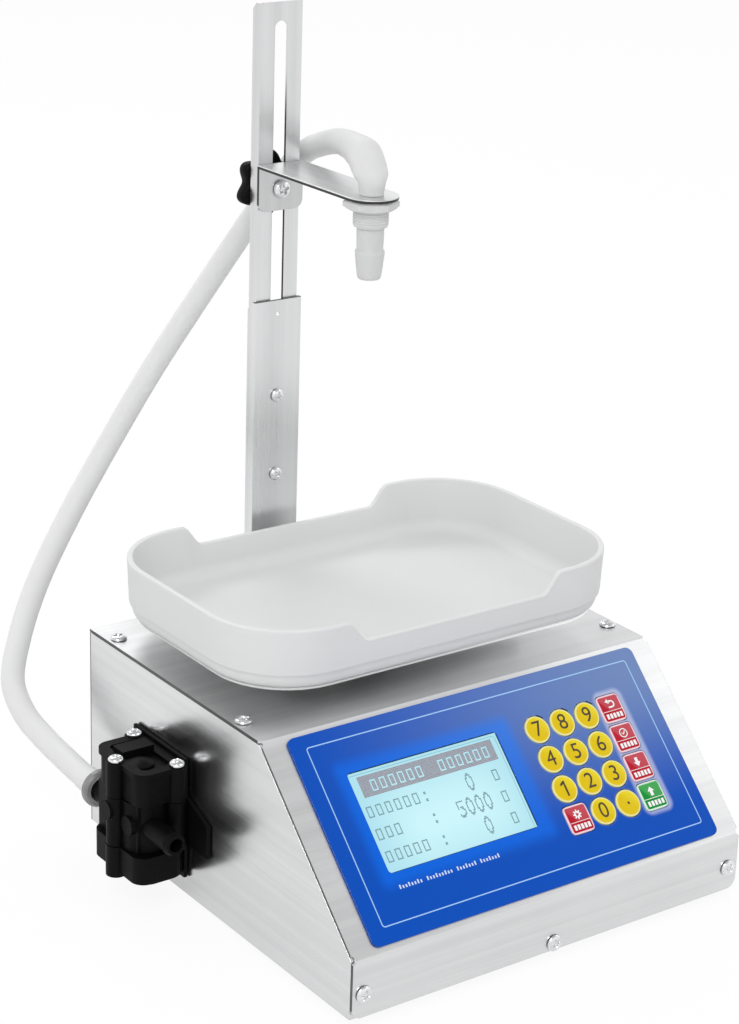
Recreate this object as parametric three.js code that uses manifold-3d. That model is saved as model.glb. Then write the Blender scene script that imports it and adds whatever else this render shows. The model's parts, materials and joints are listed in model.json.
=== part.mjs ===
// Liquid filling machine: a folded steel case with a sloping keypad panel, a weighing tray on a load
// cell, a two-part column that carries the filling nozzle, and a pump on the left wall whose hose
// runs up to the nozzle. Millimetres, +Z up, front towards -Y. The origin is the centre of the
// underside of the case.
import * as THREE from "three";
import { mergeVertices } from "three/addons/utils/BufferGeometryUtils.js";
import Module from "manifold-3d";

const wasm = await Module();
wasm.setup();

// Fits and counts shared by all pieces
const gap = 0.3;
const overrun = 2;
const roundSteps = 24;
const smallSteps = 12;

// Case: folded cover over a five-sided chassis
const caseWidth = 200;
const caseDepth = 200;
const caseHeight = 91.4;
const lipHeight = 26.2;
const slopeRun = 66.7;
const sheet = 1.2;
const flange = 11;
const frontFlange = 8;
const lipCorner = 4.5;
const lipLift = 0.5;
const reliefRadius = 1.5;

// Screws of the case and column, and their places
const headWallShare = 0.5;
const headShoulderShare = 0.85;
const headBevelShare = 0.25;
const headCrownShare = 0.5;
const recessShare = 0.6;
const screw = { head: 3.6, headHeight: 1.6, shank: 2, length: 8, slot: 1.1, slotDepth: 0.8 };
const sleeveScrew = { ...screw, head: 3, headHeight: 1.8 };
const coverScrewInset = 5;
const coverScrewBack = 16;
const coverScrewFront = 19.3;
const lipScrewInset = 5.3;
const lipScrewHeight = 10.8;
const midScrewHeight = 4;

// Rubber feet
const foot = { radius: 8, taper: 1, height: 4, inset: 22 };

// Keypad panel, measured on the slope from the middle of its width and from the top bend
const overlay = { sideInset: 10.75, endInset: 2.19, corner: 3.2, thickness: 0.6 };
const glassWindow = { width: 75.1, height: 43.3, corner: 1.8, fromLeft: 57.1, down: 43.65 };
const key = {
  radius: 6,
  width: 12,
  height: 12.4,
  corner: 1.8,
  rise: 0.5,
  depth: 0.9,
  edge: 0.35,
  travel: 0.5,
};
const keyGrid = { fromRight: 64.15, down: 26.4, stepX: 13.4, stepDown: 13.6, margin: 1.2 };
const keyNames = [
  ["key_7", "key_8", "key_9", "key_clear"],
  ["key_4", "key_5", "key_6", "key_set"],
  ["key_1", "key_2", "key_3", "key_menu"],
  ["key_mode", "key_0", "key_point", "key_start"],
];
const displayUnit = { width: 80, height: 54, depth: 5, boardWidth: 93, boardHeight: 70, board: 1.6 };
const controlBoard = { inset: 3.75, height: 76, thickness: 1.6, behind: 11, switchSize: 6, pillar: 2.5 };
const terminalBlock = { width: 60, height: 9, depth: 10 };

// Load cell with the parts under and over it
const trayCentreY = 35.4;
const loadCell = { length: 80, side: 12.7, bottom: 36, end: 19, relief: 4.2, reliefSpread: 6 };
const cellBlock = { length: 18, width: 20 };
const platform = { length: 120, width: 80, thickness: 2, corner: 12, post: 8, arm: 4, armWidth: 18 };
const platformPad = 3;
const postHole = 12;

// Weighing tray
const tray = {
  length: 196,
  width: 127.7,
  corner: 37.4,
  lift: 11.3,
  height: 27.5,
  dip: 9.4,
  rampInner: 45,
  rampOuter: 55,
  wall: 2.6,
  draft: 0.8,
  filletRun: 5.85,
  filletRise: 7,
};
const trayBase = caseHeight + tray.lift;
const trayCornerSteps = 8;
const trayRampSteps = 4;
const trayFilletSteps = 3;

// Column: a sleeve with a nested slotted bar
const columnStandoff = 8.2;
const sleeve = { width: 24.1, depth: 6, bottom: 12, top: 222.4, chamfer: 4 };
const bar = { depth: 6, bottom: 128, top: 351.5, chamfer: 2.8, slot: 6.3, slotTop: 343.5, slotBottom: 200 };
const pinHole = { radius: 0.9, height: 216.1 };
const sleeveScrewHeights = [142, 178.8];
const spacer = { width: 18, bottom: 16, top: 84 };

// Nozzle bracket and its clamp
const bracket = { width: 22.8, thickness: 1.5, top: 283, drop: 20.6, corner: 4, noseY: 41.5 };
const clamp = { head: 4, headHeight: 2.8, shank: 2.5, drop: 11.1, reach: 9.5, slotDepth: 1.3 };
const knob = { radius: 15, dip: 3.5, lobes: 6, turn: 0.122, thickness: 6.3, hub: 6, hubLength: 5, edge: 1 };
const knobSteps = 60;

// Nozzle, from the plate down
const nozzle = {
  bore: 2.4,
  neck: 3.7,
  neckTop: 0.6,
  hexFlats: 20.4,
  hexHeight: 4,
  thread: 7.5,
  threadLength: 7.4,
  shaft: 5.7,
  shaftLength: 10.3,
  barb: 6.2,
  barbEdge: 0.8,
  tip: 4.8,
  tipLength: 11.8,
  chamfer: 0.6,
};

// Pump on the left wall
const pumpPlate = { thickness: 1.8, front: 18.5, back: 60, bottom: 8.5, top: 63, ear: 17.5 };
const pumpEar = { bottom: 24.5, shoulder: 39.5, root: 47 };
const pump = { width: 22.6, front: 16.5, back: 53.7, corner: 6, bottom: 10, top: 61.5 };
const pumpCup = { height: 14, grow: 0.8, bevel: 2, lug: 4.4, wall: 3.4 };
const pumpFlange = { height: 2.4, pocket: 1.6, rim: 2.4, step: 0.8 };
const pumpBulge = { radius: 10, fromFront: 12 };
const pumpCore = { height: 21.7, fromFront: 4.5, fromOutside: 2, fromBack: 1 };
const pumpDome = { radius: 6, rise: 1.3, fromFront: 13, fromOutside: 8 };
const pumpPort = { width: 8, length: 15, fromFront: 24, rise: 2.2 };
const pumpScrew = { head: 3.25, headHeight: 2.2, shank: 1.6, length: 42, boss: 4.1, slot: 1, slotDepth: 1.1 };
const pumpBossInset = 3.6;
const ports = { outward: 14.4, height: 35.5 };
const inlet = { outer: 4.75, bore: 3, mouth: 1, lip: 0.45, lipLength: 2.4, boreDepth: 20 };
const outlet = { outer: 5.2, reach: 10.3 };
const collar = { outer: 8.4, length: 3.5, chamfer: 1 };
const plug = { radius: 4.25, proud: 0.5, fromMiddle: 9.2, height: 36, postOffset: 1.1, postHeight: 40 };
const motor = { radius: 15.5, length: 40, height: 18.5, can: 12, canLength: 12 };
const shaft = { radius: 2.5, seat: 6, eccentric: 4, throw: 1, eccentricLength: 6 };

// Mains inlet and rocker switch in the back wall
const backPanelHeight = 32;
const powerInlet = {
  x: 58,
  width: 27,
  height: 20,
  depth: 16,
  border: 3,
  face: 2,
  wall: 2.6,
  pin: 1.1,
  pinStep: 5,
};
const switchBox = { x: -58, width: 15, height: 21.5, depth: 14, border: 2, face: 1.6 };
const rocker = { width: 9.6, radius: 8.2, rise: 3.2, valley: 1.6, back: 3, pin: 1, tilt: 0.14 };
const rockerSteps = 4;

// Hose: it leaves the pump backwards, rises behind the column and comes over its right side
const hose = { radius: 5.25, steps: 44, halfSides: 5 };
const hoseRoute = [
  [-116.8, 64.3, 35.5],
  [-116.8, 76, 35.5],
  [-116.9, 92, 37],
  [-118, 108, 40.4],
  [-119.4, 124, 46.4],
  [-117.6, 138, 56.2],
  [-107.5, 150, 71],
  [-93, 160.2, 90],
  [-72, 168, 116],
  [-50.5, 171.3, 144],
  [-27, 169.3, 179],
  [-8, 162.5, 210],
  [4, 154.5, 233],
  [11.5, 146, 251],
  [17.8, 136, 268],
  [21.2, 127, 279.4],
  [20.8, 116, 286],
  [18.3, 105, 289.9],
  [15.8, 95, 293],
  [12.7, 83.5, 295.9],
  [9, 71.5, 297.3],
  [5.5, 60, 297.5],
  [2.6, 50.2, 296.7],
  [1.2, 45.5, 294.8],
  [0.3, 42.4, 291.6],
  [0, 41.5, 288.4],
  [0, 41.5, 286.2],
  [0, 41.5, 283.9],
];

// Finishes
const finish = (color, roughness, metalness, more = {}) =>
  new THREE.MeshStandardMaterial({ color, roughness, metalness, ...more });
const steel = finish(0xc4c6c8, 0.34, 0.9);
const zinc = finish(0xd8dadb, 0.25, 0.95);
const blackPlastic = finish(0x17181a, 0.55, 0);
const rubber = finish(0x1b1b1b, 0.9, 0);
const blueFilm = finish(0x1450c4, 0.25, 0);
const yellowKey = finish(0xf2cf1d, 0.3, 0);
const redKey = finish(0xc8142a, 0.3, 0);
const greenKey = finish(0x12a12b, 0.3, 0);
const displayGlass = finish(0xbdeef3, 0.15, 0);
const boardGreen = finish(0x1d5b35, 0.5, 0.1);
const aluminium = finish(0xb7babd, 0.4, 0.9);
const milkyPlastic = finish(0xeff0ef, 0.42, 0, { transparent: true, opacity: 0.92 });
const nylon = finish(0xe9eae8, 0.45, 0);
const clearHose = finish(0xe3e6e6, 0.3, 0, { transparent: true, opacity: 0.85 });
const smokyPlastic = finish(0x8b8d8f, 0.35, 0, { transparent: true, opacity: 0.8 });

// Closed solids from geometries, and their joins and cuts
function solid(geometry) {
  const loose = geometry.index ? geometry.toNonIndexed() : geometry;
  const bare = new THREE.BufferGeometry();
  bare.setAttribute("position", loose.getAttribute("position").clone());
  const merged = mergeVertices(bare);
  const vertProperties = new Float32Array(merged.getAttribute("position").array);
  const triVerts = new Uint32Array(merged.index.array);
  return new wasm.Manifold(new wasm.Mesh({ numProp: 3, vertProperties, triVerts }));
}

function geometryOf(made) {
  const mesh = made.getMesh();
  const geometry = new THREE.BufferGeometry();
  const positions = new Float32Array(mesh.numVert * 3);
  for (let i = 0; i < mesh.numVert; i++) {
    positions.set(mesh.vertProperties.subarray(i * mesh.numProp, i * mesh.numProp + 3), i * 3);
  }
  geometry.setAttribute("position", new THREE.BufferAttribute(positions, 3));
  geometry.setIndex(new THREE.BufferAttribute(mesh.triVerts, 1));
  geometry.computeVertexNormals();
  return geometry;
}

const join = (...pieces) => geometryOf(pieces.map(solid).reduce((a, b) => a.add(b)));
const cut = (piece, ...tools) => geometryOf(tools.map(solid).reduce((a, b) => a.subtract(b), solid(piece)));

// Box between two corners
function block([x0, y0, z0], [x1, y1, z1]) {
  const box = new THREE.BoxGeometry(x1 - x0, y1 - y0, z1 - z0);
  return box.translate((x0 + x1) / 2, (y0 + y1) / 2, (z0 + z1) / 2);
}

// Outline [a, b] points pushed along an axis: "x" reads them as y, z; "y" as x, z; "z" as x, y
function prism(shape, axis, from, to, options = {}) {
  const bevel = options.bevelThickness || 0;
  const depth = to - from - 2 * bevel;
  const geometry = new THREE.ExtrudeGeometry(shape, { depth, bevelEnabled: bevel > 0, ...options });
  geometry.translate(0, 0, bevel);
  const turns = {
    x: [[0, 1, 0], [0, 0, 1], [1, 0, 0]],
    y: [[-1, 0, 0], [0, 0, 1], [0, 1, 0]],
    z: [[1, 0, 0], [0, 1, 0], [0, 0, 1]],
  };
  const basis = turns[axis].map((v) => new THREE.Vector3(...v));
  geometry.applyMatrix4(new THREE.Matrix4().makeBasis(...basis));
  return geometry.translate(...basis[2].clone().multiplyScalar(from).toArray());
}

const outline = (points) => new THREE.Shape(points.map(([a, b]) => new THREE.Vector2(a, b)));

function roundedOutline(width, height, radius, x = 0, y = 0) {
  const shape = new THREE.Shape();
  const [w, h] = [width / 2 - radius, height / 2 - radius];
  shape.absarc(x + w, y - h, radius, -Math.PI / 2, 0);
  shape.absarc(x + w, y + h, radius, 0, Math.PI / 2);
  shape.absarc(x - w, y + h, radius, Math.PI / 2, Math.PI);
  shape.absarc(x - w, y - h, radius, Math.PI, 1.5 * Math.PI);
  shape.closePath();
  return shape;
}

// Cylinder along an axis between two places on it
function rod(axis, [a, b], from, to, radius, steps = roundSteps, endRadius = radius) {
  const geometry = new THREE.CylinderGeometry(endRadius, radius, to - from, steps);
  geometry.translate(0, (from + to) / 2, 0);
  if (axis === "z") geometry.rotateX(Math.PI / 2).translate(a, b, 0);
  if (axis === "x") geometry.rotateZ(-Math.PI / 2).translate(0, a, b);
  if (axis === "y") geometry.translate(a, 0, b);
  return geometry;
}

// Solid of revolution about Z; the profile is a list of [radius, height]
function turned(profile, steps = roundSteps) {
  const points = profile.map(([r, z]) => new THREE.Vector2(r, z));
  return new THREE.LatheGeometry(points, steps).rotateX(Math.PI / 2);
}

// Pan-head screw along +Z, its seat at zero, with a cross recess in the head
function screwShape(size) {
  const { head, headHeight, shank, length, slot, slotDepth } = size;
  const body = turned([
    [0, -length],
    [shank, -length],
    [shank, 0],
    [head, 0],
    [head, headHeight * headWallShare],
    [head - headHeight * headBevelShare, headHeight * headShoulderShare],
    [head - headHeight * headCrownShare, headHeight],
    [0, headHeight],
  ], smallSteps);
  const reach = head * recessShare;
  const low = headHeight - slotDepth;
  const high = headHeight + overrun;
  return cut(
    body,
    block([-reach, -slot / 2, low], [reach, slot / 2, high]),
    block([-slot / 2, -reach, low], [slot / 2, reach, high]),
  );
}

// Surface through rings of equal point counts, closed by a fan at each end
function loft(rings) {
  const count = rings[0].length;
  const centre = (ring) => {
    const sum = ring.reduce((a, p) => a.add(p), new THREE.Vector3());
    return sum.multiplyScalar(1 / count);
  };
  const first = centre(rings[0]);
  const last = centre(rings[rings.length - 1]);
  const points = [...rings.flat(), first, last];
  const index = [];
  for (let r = 0; r + 1 < rings.length; r++) {
    for (let i = 0; i < count; i++) {
      const j = (i + 1) % count;
      const [a, b, c, d] = [r * count + i, r * count + j, (r + 1) * count + j, (r + 1) * count + i];
      index.push(a, b, c, a, c, d);
    }
  }
  const top = (rings.length - 1) * count;
  for (let i = 0; i < count; i++) {
    const j = (i + 1) % count;
    index.push(rings.length * count, j, i, rings.length * count + 1, top + i, top + j);
  }
  const geometry = new THREE.BufferGeometry().setFromPoints(points);
  return geometry.setIndex(index);
}

const group = new THREE.Group();

function add(name, geometry, material, parent = group) {
  const mesh = new THREE.Mesh(geometry, material);
  mesh.name = name;
  parent.add(mesh);
  return mesh;
}

// Case profile: the bent line of the cover, moved inwards by a depth
const slopeRise = caseHeight - lipHeight;
const slopeAngle = Math.atan2(slopeRise, slopeRun);
const slopeLength = Math.hypot(slopeRise, slopeRun);
const frontY = -caseDepth / 2;
const backY = caseDepth / 2;
const topBendY = frontY + slopeRun;
const sideX = caseWidth / 2;

function caseLine(depth, bottom, back) {
  const [sin, cos] = [Math.sin(slopeAngle), Math.cos(slopeAngle)];
  const y = frontY + depth;
  return [
    [y, bottom],
    [y, caseHeight + (sin * (y - topBendY) - depth) / cos],
    [topBendY + (depth * (1 - cos)) / sin, caseHeight - depth],
    [back, caseHeight - depth],
  ];
}

const band = (outer, inner, bottom, back) =>
  outline([...caseLine(outer, bottom, back), ...caseLine(inner, bottom, back).reverse()]);

// The panel's own frame: x across, y up the slope, z out of it, from the middle of the slope
const panel = new THREE.Group();
panel.position.set(0, (topBendY + frontY) / 2, caseHeight - slopeRise / 2);
panel.rotation.x = slopeAngle;
panel.updateMatrix();
group.add(panel);
const fromTop = (down) => slopeLength / 2 - down;
const overlayWidth = caseWidth - 2 * overlay.sideInset;
const overlayHeight = slopeLength - 2 * overlay.endInset;
const windowX = glassWindow.fromLeft - overlayWidth / 2;
const keyColumnX = overlayWidth / 2 - keyGrid.fromRight;
const boardWidth = overlayWidth - 2 * controlBoard.inset;

function keyPlace(row, column) {
  return [keyColumnX + column * keyGrid.stepX, fromTop(keyGrid.down + row * keyGrid.stepDown)];
}

const keySteps = 16;
const isRound = (name) => /^key_(\d|point)$/.test(name);
const keysLeft = keyPlace(0, 0)[0] - key.width / 2 - keyGrid.margin;
const keysRight = keyPlace(0, 3)[0] + key.width / 2 + keyGrid.margin;
const keysTop = keyPlace(0, 0)[1] + key.height / 2 + keyGrid.margin;
const keysBottom = keyPlace(3, 0)[1] - key.height / 2 - keyGrid.margin;
const windowY = fromTop(glassWindow.down);

// Places of the cover screws
const coverScrewY = [backY - coverScrewBack, topBendY + coverScrewFront];
const coverScrewX = sideX - coverScrewInset;
const lipScrews = [
  [-(sideX - lipScrewInset), lipScrewHeight],
  [0, midScrewHeight],
  [sideX - lipScrewInset, lipScrewHeight],
];
const screwHole = screw.shank + gap;

// Pump places, from the wall outwards
const wallX = -sideX;
const plateX = wallX - gap;
const plateOuterX = plateX - pumpPlate.thickness;
const pumpInnerX = plateOuterX - gap;
const pumpOuterX = pumpInnerX - pump.width;
const pumpMidY = (pump.front + pump.back) / 2;
const portX = pumpInnerX - ports.outward;
const shaftHole = shaft.radius + gap;

function chassisShape() {
  const skin = sheet + gap;
  const inside = skin + sheet;
  const outer = prism(outline(boxed(caseLine(skin, 0, backY))), "x", -sideX, sideX);
  const hollow = prism(
    outline(boxed(caseLine(inside, sheet, backY - sheet))),
    "x",
    -sideX + sheet,
    sideX - sheet,
  );
  const mouth = prism(
    band(-overrun, inside + overrun, frontFlange, backY - flange),
    "x",
    -sideX + flange,
    sideX - flange,
  );
  const holes = [];
  for (const x of [-coverScrewX, coverScrewX]) {
    for (const y of coverScrewY) {
      holes.push(rod("z", [x, y], caseHeight - inside - overrun, caseHeight, screwHole, smallSteps));
    }
  }
  for (const [x, z] of lipScrews) {
    holes.push(rod("y", [x, z], frontY, frontY + inside + overrun, screwHole, smallSteps));
  }
  holes.push(
    rod("x", [pumpMidY, motor.height], -sideX - overrun, -sideX + overrun, shaftHole + gap, smallSteps),
  );
  for (const item of [powerInlet, switchBox]) {
    const [w, h] = [item.width / 2 + gap, item.height / 2 + gap];
    holes.push(
      block(
        [item.x - w, backY - overrun, backPanelHeight - h],
        [item.x + w, backY + overrun, backPanelHeight + h],
      ),
    );
  }
  return cut(outer, hollow, mouth, ...holes);
}

// A case line closed by its bottom corners
function boxed(line) {
  const bottom = line[0][1];
  const back = line[3][0];
  return [...line, [back, bottom]];
}

function coverShape() {
  const skin = prism(band(0, sheet, lipLift, backY), "x", -sideX, sideX);
  const tools = [rod("z", [0, trayCentreY], caseHeight - overrun, caseHeight + overrun, postHole)];
  for (const x of [-coverScrewX, coverScrewX]) {
    for (const y of coverScrewY) {
      tools.push(rod("z", [x, y], caseHeight - overrun, caseHeight + overrun, screwHole, smallSteps));
    }
  }
  for (const [x, z] of lipScrews) {
    tools.push(rod("y", [x, z], frontY - overrun, frontY + overrun, screwHole, smallSteps));
  }
  const above = caseHeight + overrun;
  const ahead = frontY - overrun;
  for (const side of [-1, 1]) {
    const edge = side * sideX;
    tools.push(rod("z", [edge, topBendY], caseHeight - 2 * sheet, above, reliefRadius, smallSteps));
    tools.push(rod("y", [edge, lipHeight], ahead, frontY + 2 * sheet, reliefRadius, smallSteps));
    tools.push(cornerTool(side));
  }
  const window = prism(
    roundedOutline(glassWindow.width, glassWindow.height, gap, windowX, windowY),
    "z",
    -2 * sheet,
    overrun,
  );
  const keyMouth = block([keysLeft, keysBottom, -2 * sheet], [keysRight, keysTop, overrun]);
  tools.push(window.applyMatrix4(panel.matrix), keyMouth.applyMatrix4(panel.matrix));
  return cut(skin, ...tools);
}

// What rounds a lower corner of the lip: a square with a quarter disc left out
function cornerTool(side) {
  const [x, z] = [sideX, lipLift];
  const shape = new THREE.Shape();
  shape.moveTo(x + overrun, z - overrun);
  shape.lineTo(x + overrun, z + lipCorner);
  shape.lineTo(x, z + lipCorner);
  shape.absarc(x - lipCorner, z + lipCorner, lipCorner, 0, -Math.PI / 2, true);
  shape.lineTo(x - lipCorner, z - overrun);
  shape.closePath();
  const tool = prism(shape, "y", frontY - overrun, frontY + overrun, { curveSegments: 6 });
  return side < 0 ? tool : tool.rotateZ(Math.PI).translate(0, 2 * frontY, 0);
}

add("chassis", chassisShape(), steel);
add("top_cover", coverShape(), steel);

coverScrewY.forEach((y, row) => {
  [-coverScrewX, coverScrewX].forEach((x, column) => {
    const name = `cover_screw_${row ? "front" : "back"}_${column ? "right" : "left"}`;
    add(name, screwShape(screw), zinc).position.set(x, y, caseHeight + gap);
  });
});
lipScrews.forEach(([x, z], i) => {
  const mesh = add(`lip_screw_${["left", "middle", "right"][i]}`, screwShape(screw), zinc);
  mesh.rotation.x = Math.PI / 2;
  mesh.position.set(x, frontY - gap, z);
});

const footX = sideX - foot.inset;
const footY = caseDepth / 2 - foot.inset;
for (const [name, x, y] of [
  ["foot_front_left", -footX, -footY],
  ["foot_front_right", footX, -footY],
  ["foot_back_left", -footX, footY],
  ["foot_back_right", footX, footY],
]) {
  add(name, rod("z", [x, y], -foot.height, -gap, foot.radius - foot.taper, roundSteps, foot.radius), rubber);
}

// Ring of points whose flat sides lie outside a circle
function aroundCircle(x, y, radius, steps) {
  const reach = radius / Math.cos(Math.PI / steps);
  const points = [];
  for (let i = 0; i < steps; i++) {
    const angle = (2 * Math.PI * i) / steps;
    points.push([x + reach * Math.cos(angle), y + reach * Math.sin(angle)]);
  }
  return points;
}

// Printed film with a window and an opening for each key
function overlayShape() {
  const shape = roundedOutline(overlayWidth, overlayHeight, overlay.corner);
  const { width, height, corner } = glassWindow;
  shape.holes.push(roundedOutline(width, height, corner, windowX, windowY));
  keyNames.forEach((names, row) => {
    names.forEach((name, column) => {
      const [x, y] = keyPlace(row, column);
      const hole = isRound(name)
        ? outline(aroundCircle(x, y, key.radius + gap, keySteps))
        : roundedOutline(key.width + 2 * gap, key.height + 2 * gap, key.corner + gap, x, y);
      shape.holes.push(hole);
    });
  });
  return prism(shape, "z", gap, gap + overlay.thickness, { curveSegments: 3 });
}

function keyShape(round) {
  const top = gap + overlay.thickness + key.rise;
  const bottom = -key.depth;
  if (round) {
    return turned([
      [0, bottom],
      [key.radius, bottom],
      [key.radius, top - key.edge],
      [key.radius - key.edge, top],
      [0, top],
    ], keySteps);
  }
  const shape = roundedOutline(key.width - 2 * key.edge, key.height - 2 * key.edge, key.corner);
  return prism(shape, "z", bottom, top, {
    curveSegments: 3,
    bevelThickness: key.edge,
    bevelSize: key.edge,
    bevelSegments: 1,
  });
}

add("keypad_overlay", overlayShape(), blueFilm, panel);
keyNames.forEach((names, row) => {
  names.forEach((name, column) => {
    const plain = name === "key_start" ? greenKey : redKey;
    const round = isRound(name);
    const mesh = add(name, keyShape(round), round ? yellowKey : plain, panel);
    mesh.position.set(...keyPlace(row, column), 0);
  });
});

// Display: a glass that fills the window, on a frame and a circuit board
function displayShape() {
  const [x, y] = [windowX, windowY];
  const back = -(sheet + gap);
  const frameBack = back - displayUnit.depth;
  const glass = block(
    [x - glassWindow.width / 2 + gap, y - glassWindow.height / 2 + gap, back - overrun],
    [x + glassWindow.width / 2 - gap, y + glassWindow.height / 2 - gap, 0],
  );
  const frame = block(
    [x - displayUnit.width / 2, y - displayUnit.height / 2, frameBack],
    [x + displayUnit.width / 2, y + displayUnit.height / 2, back],
  );
  const board = block(
    [x - displayUnit.boardWidth / 2, y - displayUnit.boardHeight / 2, frameBack - displayUnit.board],
    [x + displayUnit.boardWidth / 2, y + displayUnit.boardHeight / 2, frameBack + gap],
  );
  return join(glass, frame, board);
}

// Control board: a switch under each key, four pillars to the cover and a terminal block
function controlShape() {
  const front = -(sheet + controlBoard.behind);
  const under = -(sheet + gap);
  const pieces = [
    block(
      [-boardWidth / 2, -controlBoard.height / 2, front - controlBoard.thickness],
      [boardWidth / 2, controlBoard.height / 2, front],
    ),
  ];
  const half = controlBoard.switchSize / 2;
  const switchTop = -key.depth - key.travel - gap;
  keyNames.forEach((names, row) => {
    names.forEach((name, column) => {
      const [x, y] = keyPlace(row, column);
      pieces.push(block([x - half, y - half, front - gap], [x + half, y + half, switchTop]));
    });
  });
  const [px, py] = [boardWidth / 2, controlBoard.height / 2].map((v) => v - controlBoard.pillar - gap);
  for (const [x, y] of [[-px, -py], [-px, py], [px, -py], [px, py]]) {
    pieces.push(rod("z", [x, y], front - gap, under, controlBoard.pillar, smallSteps));
  }
  const low = front - controlBoard.thickness;
  pieces.push(
    block(
      [-terminalBlock.width / 2, -controlBoard.height / 2, low - terminalBlock.depth],
      [terminalBlock.width / 2, -controlBoard.height / 2 + terminalBlock.height, low + gap],
    ),
  );
  const displayBack = under - displayUnit.depth - displayUnit.board;
  pieces.push(
    block(
      [windowX - terminalBlock.width / 2, windowY - half, front - gap],
      [windowX + terminalBlock.width / 2, windowY + half, displayBack - gap],
    ),
  );
  return join(...pieces);
}

add("lcd_module", displayShape(), displayGlass, panel);
add("control_board", controlShape(), boardGreen, panel);

// Load cell on its block, with the two relief holes through its middle
const cellTop = loadCell.bottom + loadCell.side;

function loadCellShape() {
  const [l, s] = [loadCell.length / 2, loadCell.side / 2];
  const beam = block([-l, trayCentreY - s, loadCell.bottom], [l, trayCentreY + s, cellTop]);
  const middle = loadCell.bottom + s;
  const [a, b] = [trayCentreY - s - overrun, trayCentreY + s + overrun];
  return cut(
    beam,
    rod("y", [-loadCell.reliefSpread, middle], a, b, loadCell.relief),
    rod("y", [loadCell.reliefSpread, middle], a, b, loadCell.relief),
  );
}

const platformTop = trayBase - gap;
const platformBase = platformTop - platform.thickness;

function platformShape() {
  const plate = prism(
    roundedOutline(platform.length, platform.width, platform.corner, 0, trayCentreY),
    "z",
    platformBase,
    platformTop,
    { curveSegments: 4 },
  );
  const pad = cellTop + gap;
  const armBase = pad + platformPad;
  const armTop = armBase + platform.arm;
  const [end, half] = [loadCell.length / 2, platform.armWidth / 2];
  return join(
    plate,
    rod("z", [0, trayCentreY], armBase, platformBase + gap, platform.post),
    block([-platform.post, trayCentreY - half, armBase], [end, trayCentreY + half, armTop]),
    block([end - loadCell.end, trayCentreY - half, pad], [end, trayCentreY + half, armBase + gap]),
  );
}

add("load_cell_block", block(
  [-loadCell.length / 2, trayCentreY - cellBlock.width / 2, sheet + gap],
  [-loadCell.length / 2 + cellBlock.length, trayCentreY + cellBlock.width / 2, loadCell.bottom - gap],
), aluminium);
add("load_cell", loadCellShape(), aluminium);
add("tray_platform", platformShape(), steel);

// Tray: rings of one rounded rectangle, drawn in by an inset, whose rim dips on the long sides
function trayRing(inset, heightAt) {
  const radius = tray.corner - inset;
  const [w, h] = [tray.length / 2 - tray.corner, tray.width / 2 - tray.corner];
  const ramp = [];
  for (let i = 0; i <= trayRampSteps; i++) {
    ramp.push(tray.rampInner + ((tray.rampOuter - tray.rampInner) * i) / trayRampSteps);
  }
  const along = [...ramp.map((x) => -x).reverse(), 0, ...ramp];
  const plan = [];
  const arc = (cx, cy, start) => {
    for (let i = 0; i <= trayCornerSteps; i++) {
      const angle = start + ((Math.PI / 2) * i) / trayCornerSteps;
      plan.push([cx + radius * Math.cos(angle), cy + radius * Math.sin(angle), false]);
    }
  };
  arc(w, -h, -Math.PI / 2);
  arc(w, h, 0);
  [...along].reverse().forEach((x) => plan.push([x, h + radius, true]));
  arc(-w, h, Math.PI / 2);
  arc(-w, -h, Math.PI);
  along.forEach((x) => plan.push([x, -h - radius, true]));
  return plan.map(([x, y]) => new THREE.Vector3(x, y + trayCentreY, heightAt(x, y)));
}

function trayShape() {
  const rimHeight = (x, y) => {
    const run = (Math.abs(x) - tray.rampInner) / (tray.rampOuter - tray.rampInner);
    const share = THREE.MathUtils.smoothstep(run, 0, 1);
    const onLongSide = Math.abs(y) > tray.width / 2 - tray.corner;
    return trayBase + tray.height - (onLongSide ? tray.dip * (1 - share) : 0);
  };
  const rings = [];
  const wallFoot = (outer, lift) => {
    const foots = [];
    for (let i = 0; i <= trayFilletSteps; i++) {
      const angle = ((Math.PI / 2) * i) / trayFilletSteps;
      const inset = tray.draft + tray.filletRun * (1 - Math.sin(angle)) + outer;
      const z = trayBase + lift + tray.filletRise * (1 - Math.cos(angle));
      foots.push(trayRing(inset, () => z));
    }
    return foots;
  };
  rings.push(...wallFoot(0, 0));
  rings.push(trayRing(0, rimHeight));
  rings.push(trayRing(tray.wall, rimHeight));
  rings.push(...wallFoot(tray.wall, tray.wall).reverse());
  return loft(rings);
}

add("weigh_tray", trayShape(), milkyPlastic);

// Column channels open to the back; the bar slides behind the web of the sleeve
const sleeveY = backY + columnStandoff;
const barY = sleeveY + sheet + gap;
const barWidth = sleeve.width - 2 * (sheet + gap) + gap / 2;

function channel(width, depth, y, bottom, top, chamfer) {
  const [w, t] = [width / 2, sheet];
  const shape = outline([
    [-w, y],
    [w, y],
    [w, y + depth],
    [w - t, y + depth],
    [w - t, y + t],
    [t - w, y + t],
    [t - w, y + depth],
    [-w, y + depth],
  ]);
  const cornerCut = prism(
    outline([
      [y + depth - chamfer, top],
      [y + depth + overrun, top - chamfer - overrun],
      [y + depth + overrun, top + overrun],
      [y + depth - chamfer, top + overrun],
    ]),
    "x",
    -w - overrun,
    w + overrun,
  );
  return cut(prism(shape, "z", bottom, top), cornerCut);
}

const columnHole = (z) => rod("y", [0, z], sleeveY - overrun, barY + sheet + overrun, screwHole, smallSteps);
const slotTool = prism(
  roundedOutline(
    bar.slot,
    bar.slotTop - bar.slotBottom,
    bar.slot / 2 - gap / 10,
    0,
    (bar.slotTop + bar.slotBottom) / 2,
  ),
  "y",
  barY - overrun,
  barY + sheet + overrun,
  { curveSegments: 6 },
);

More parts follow.
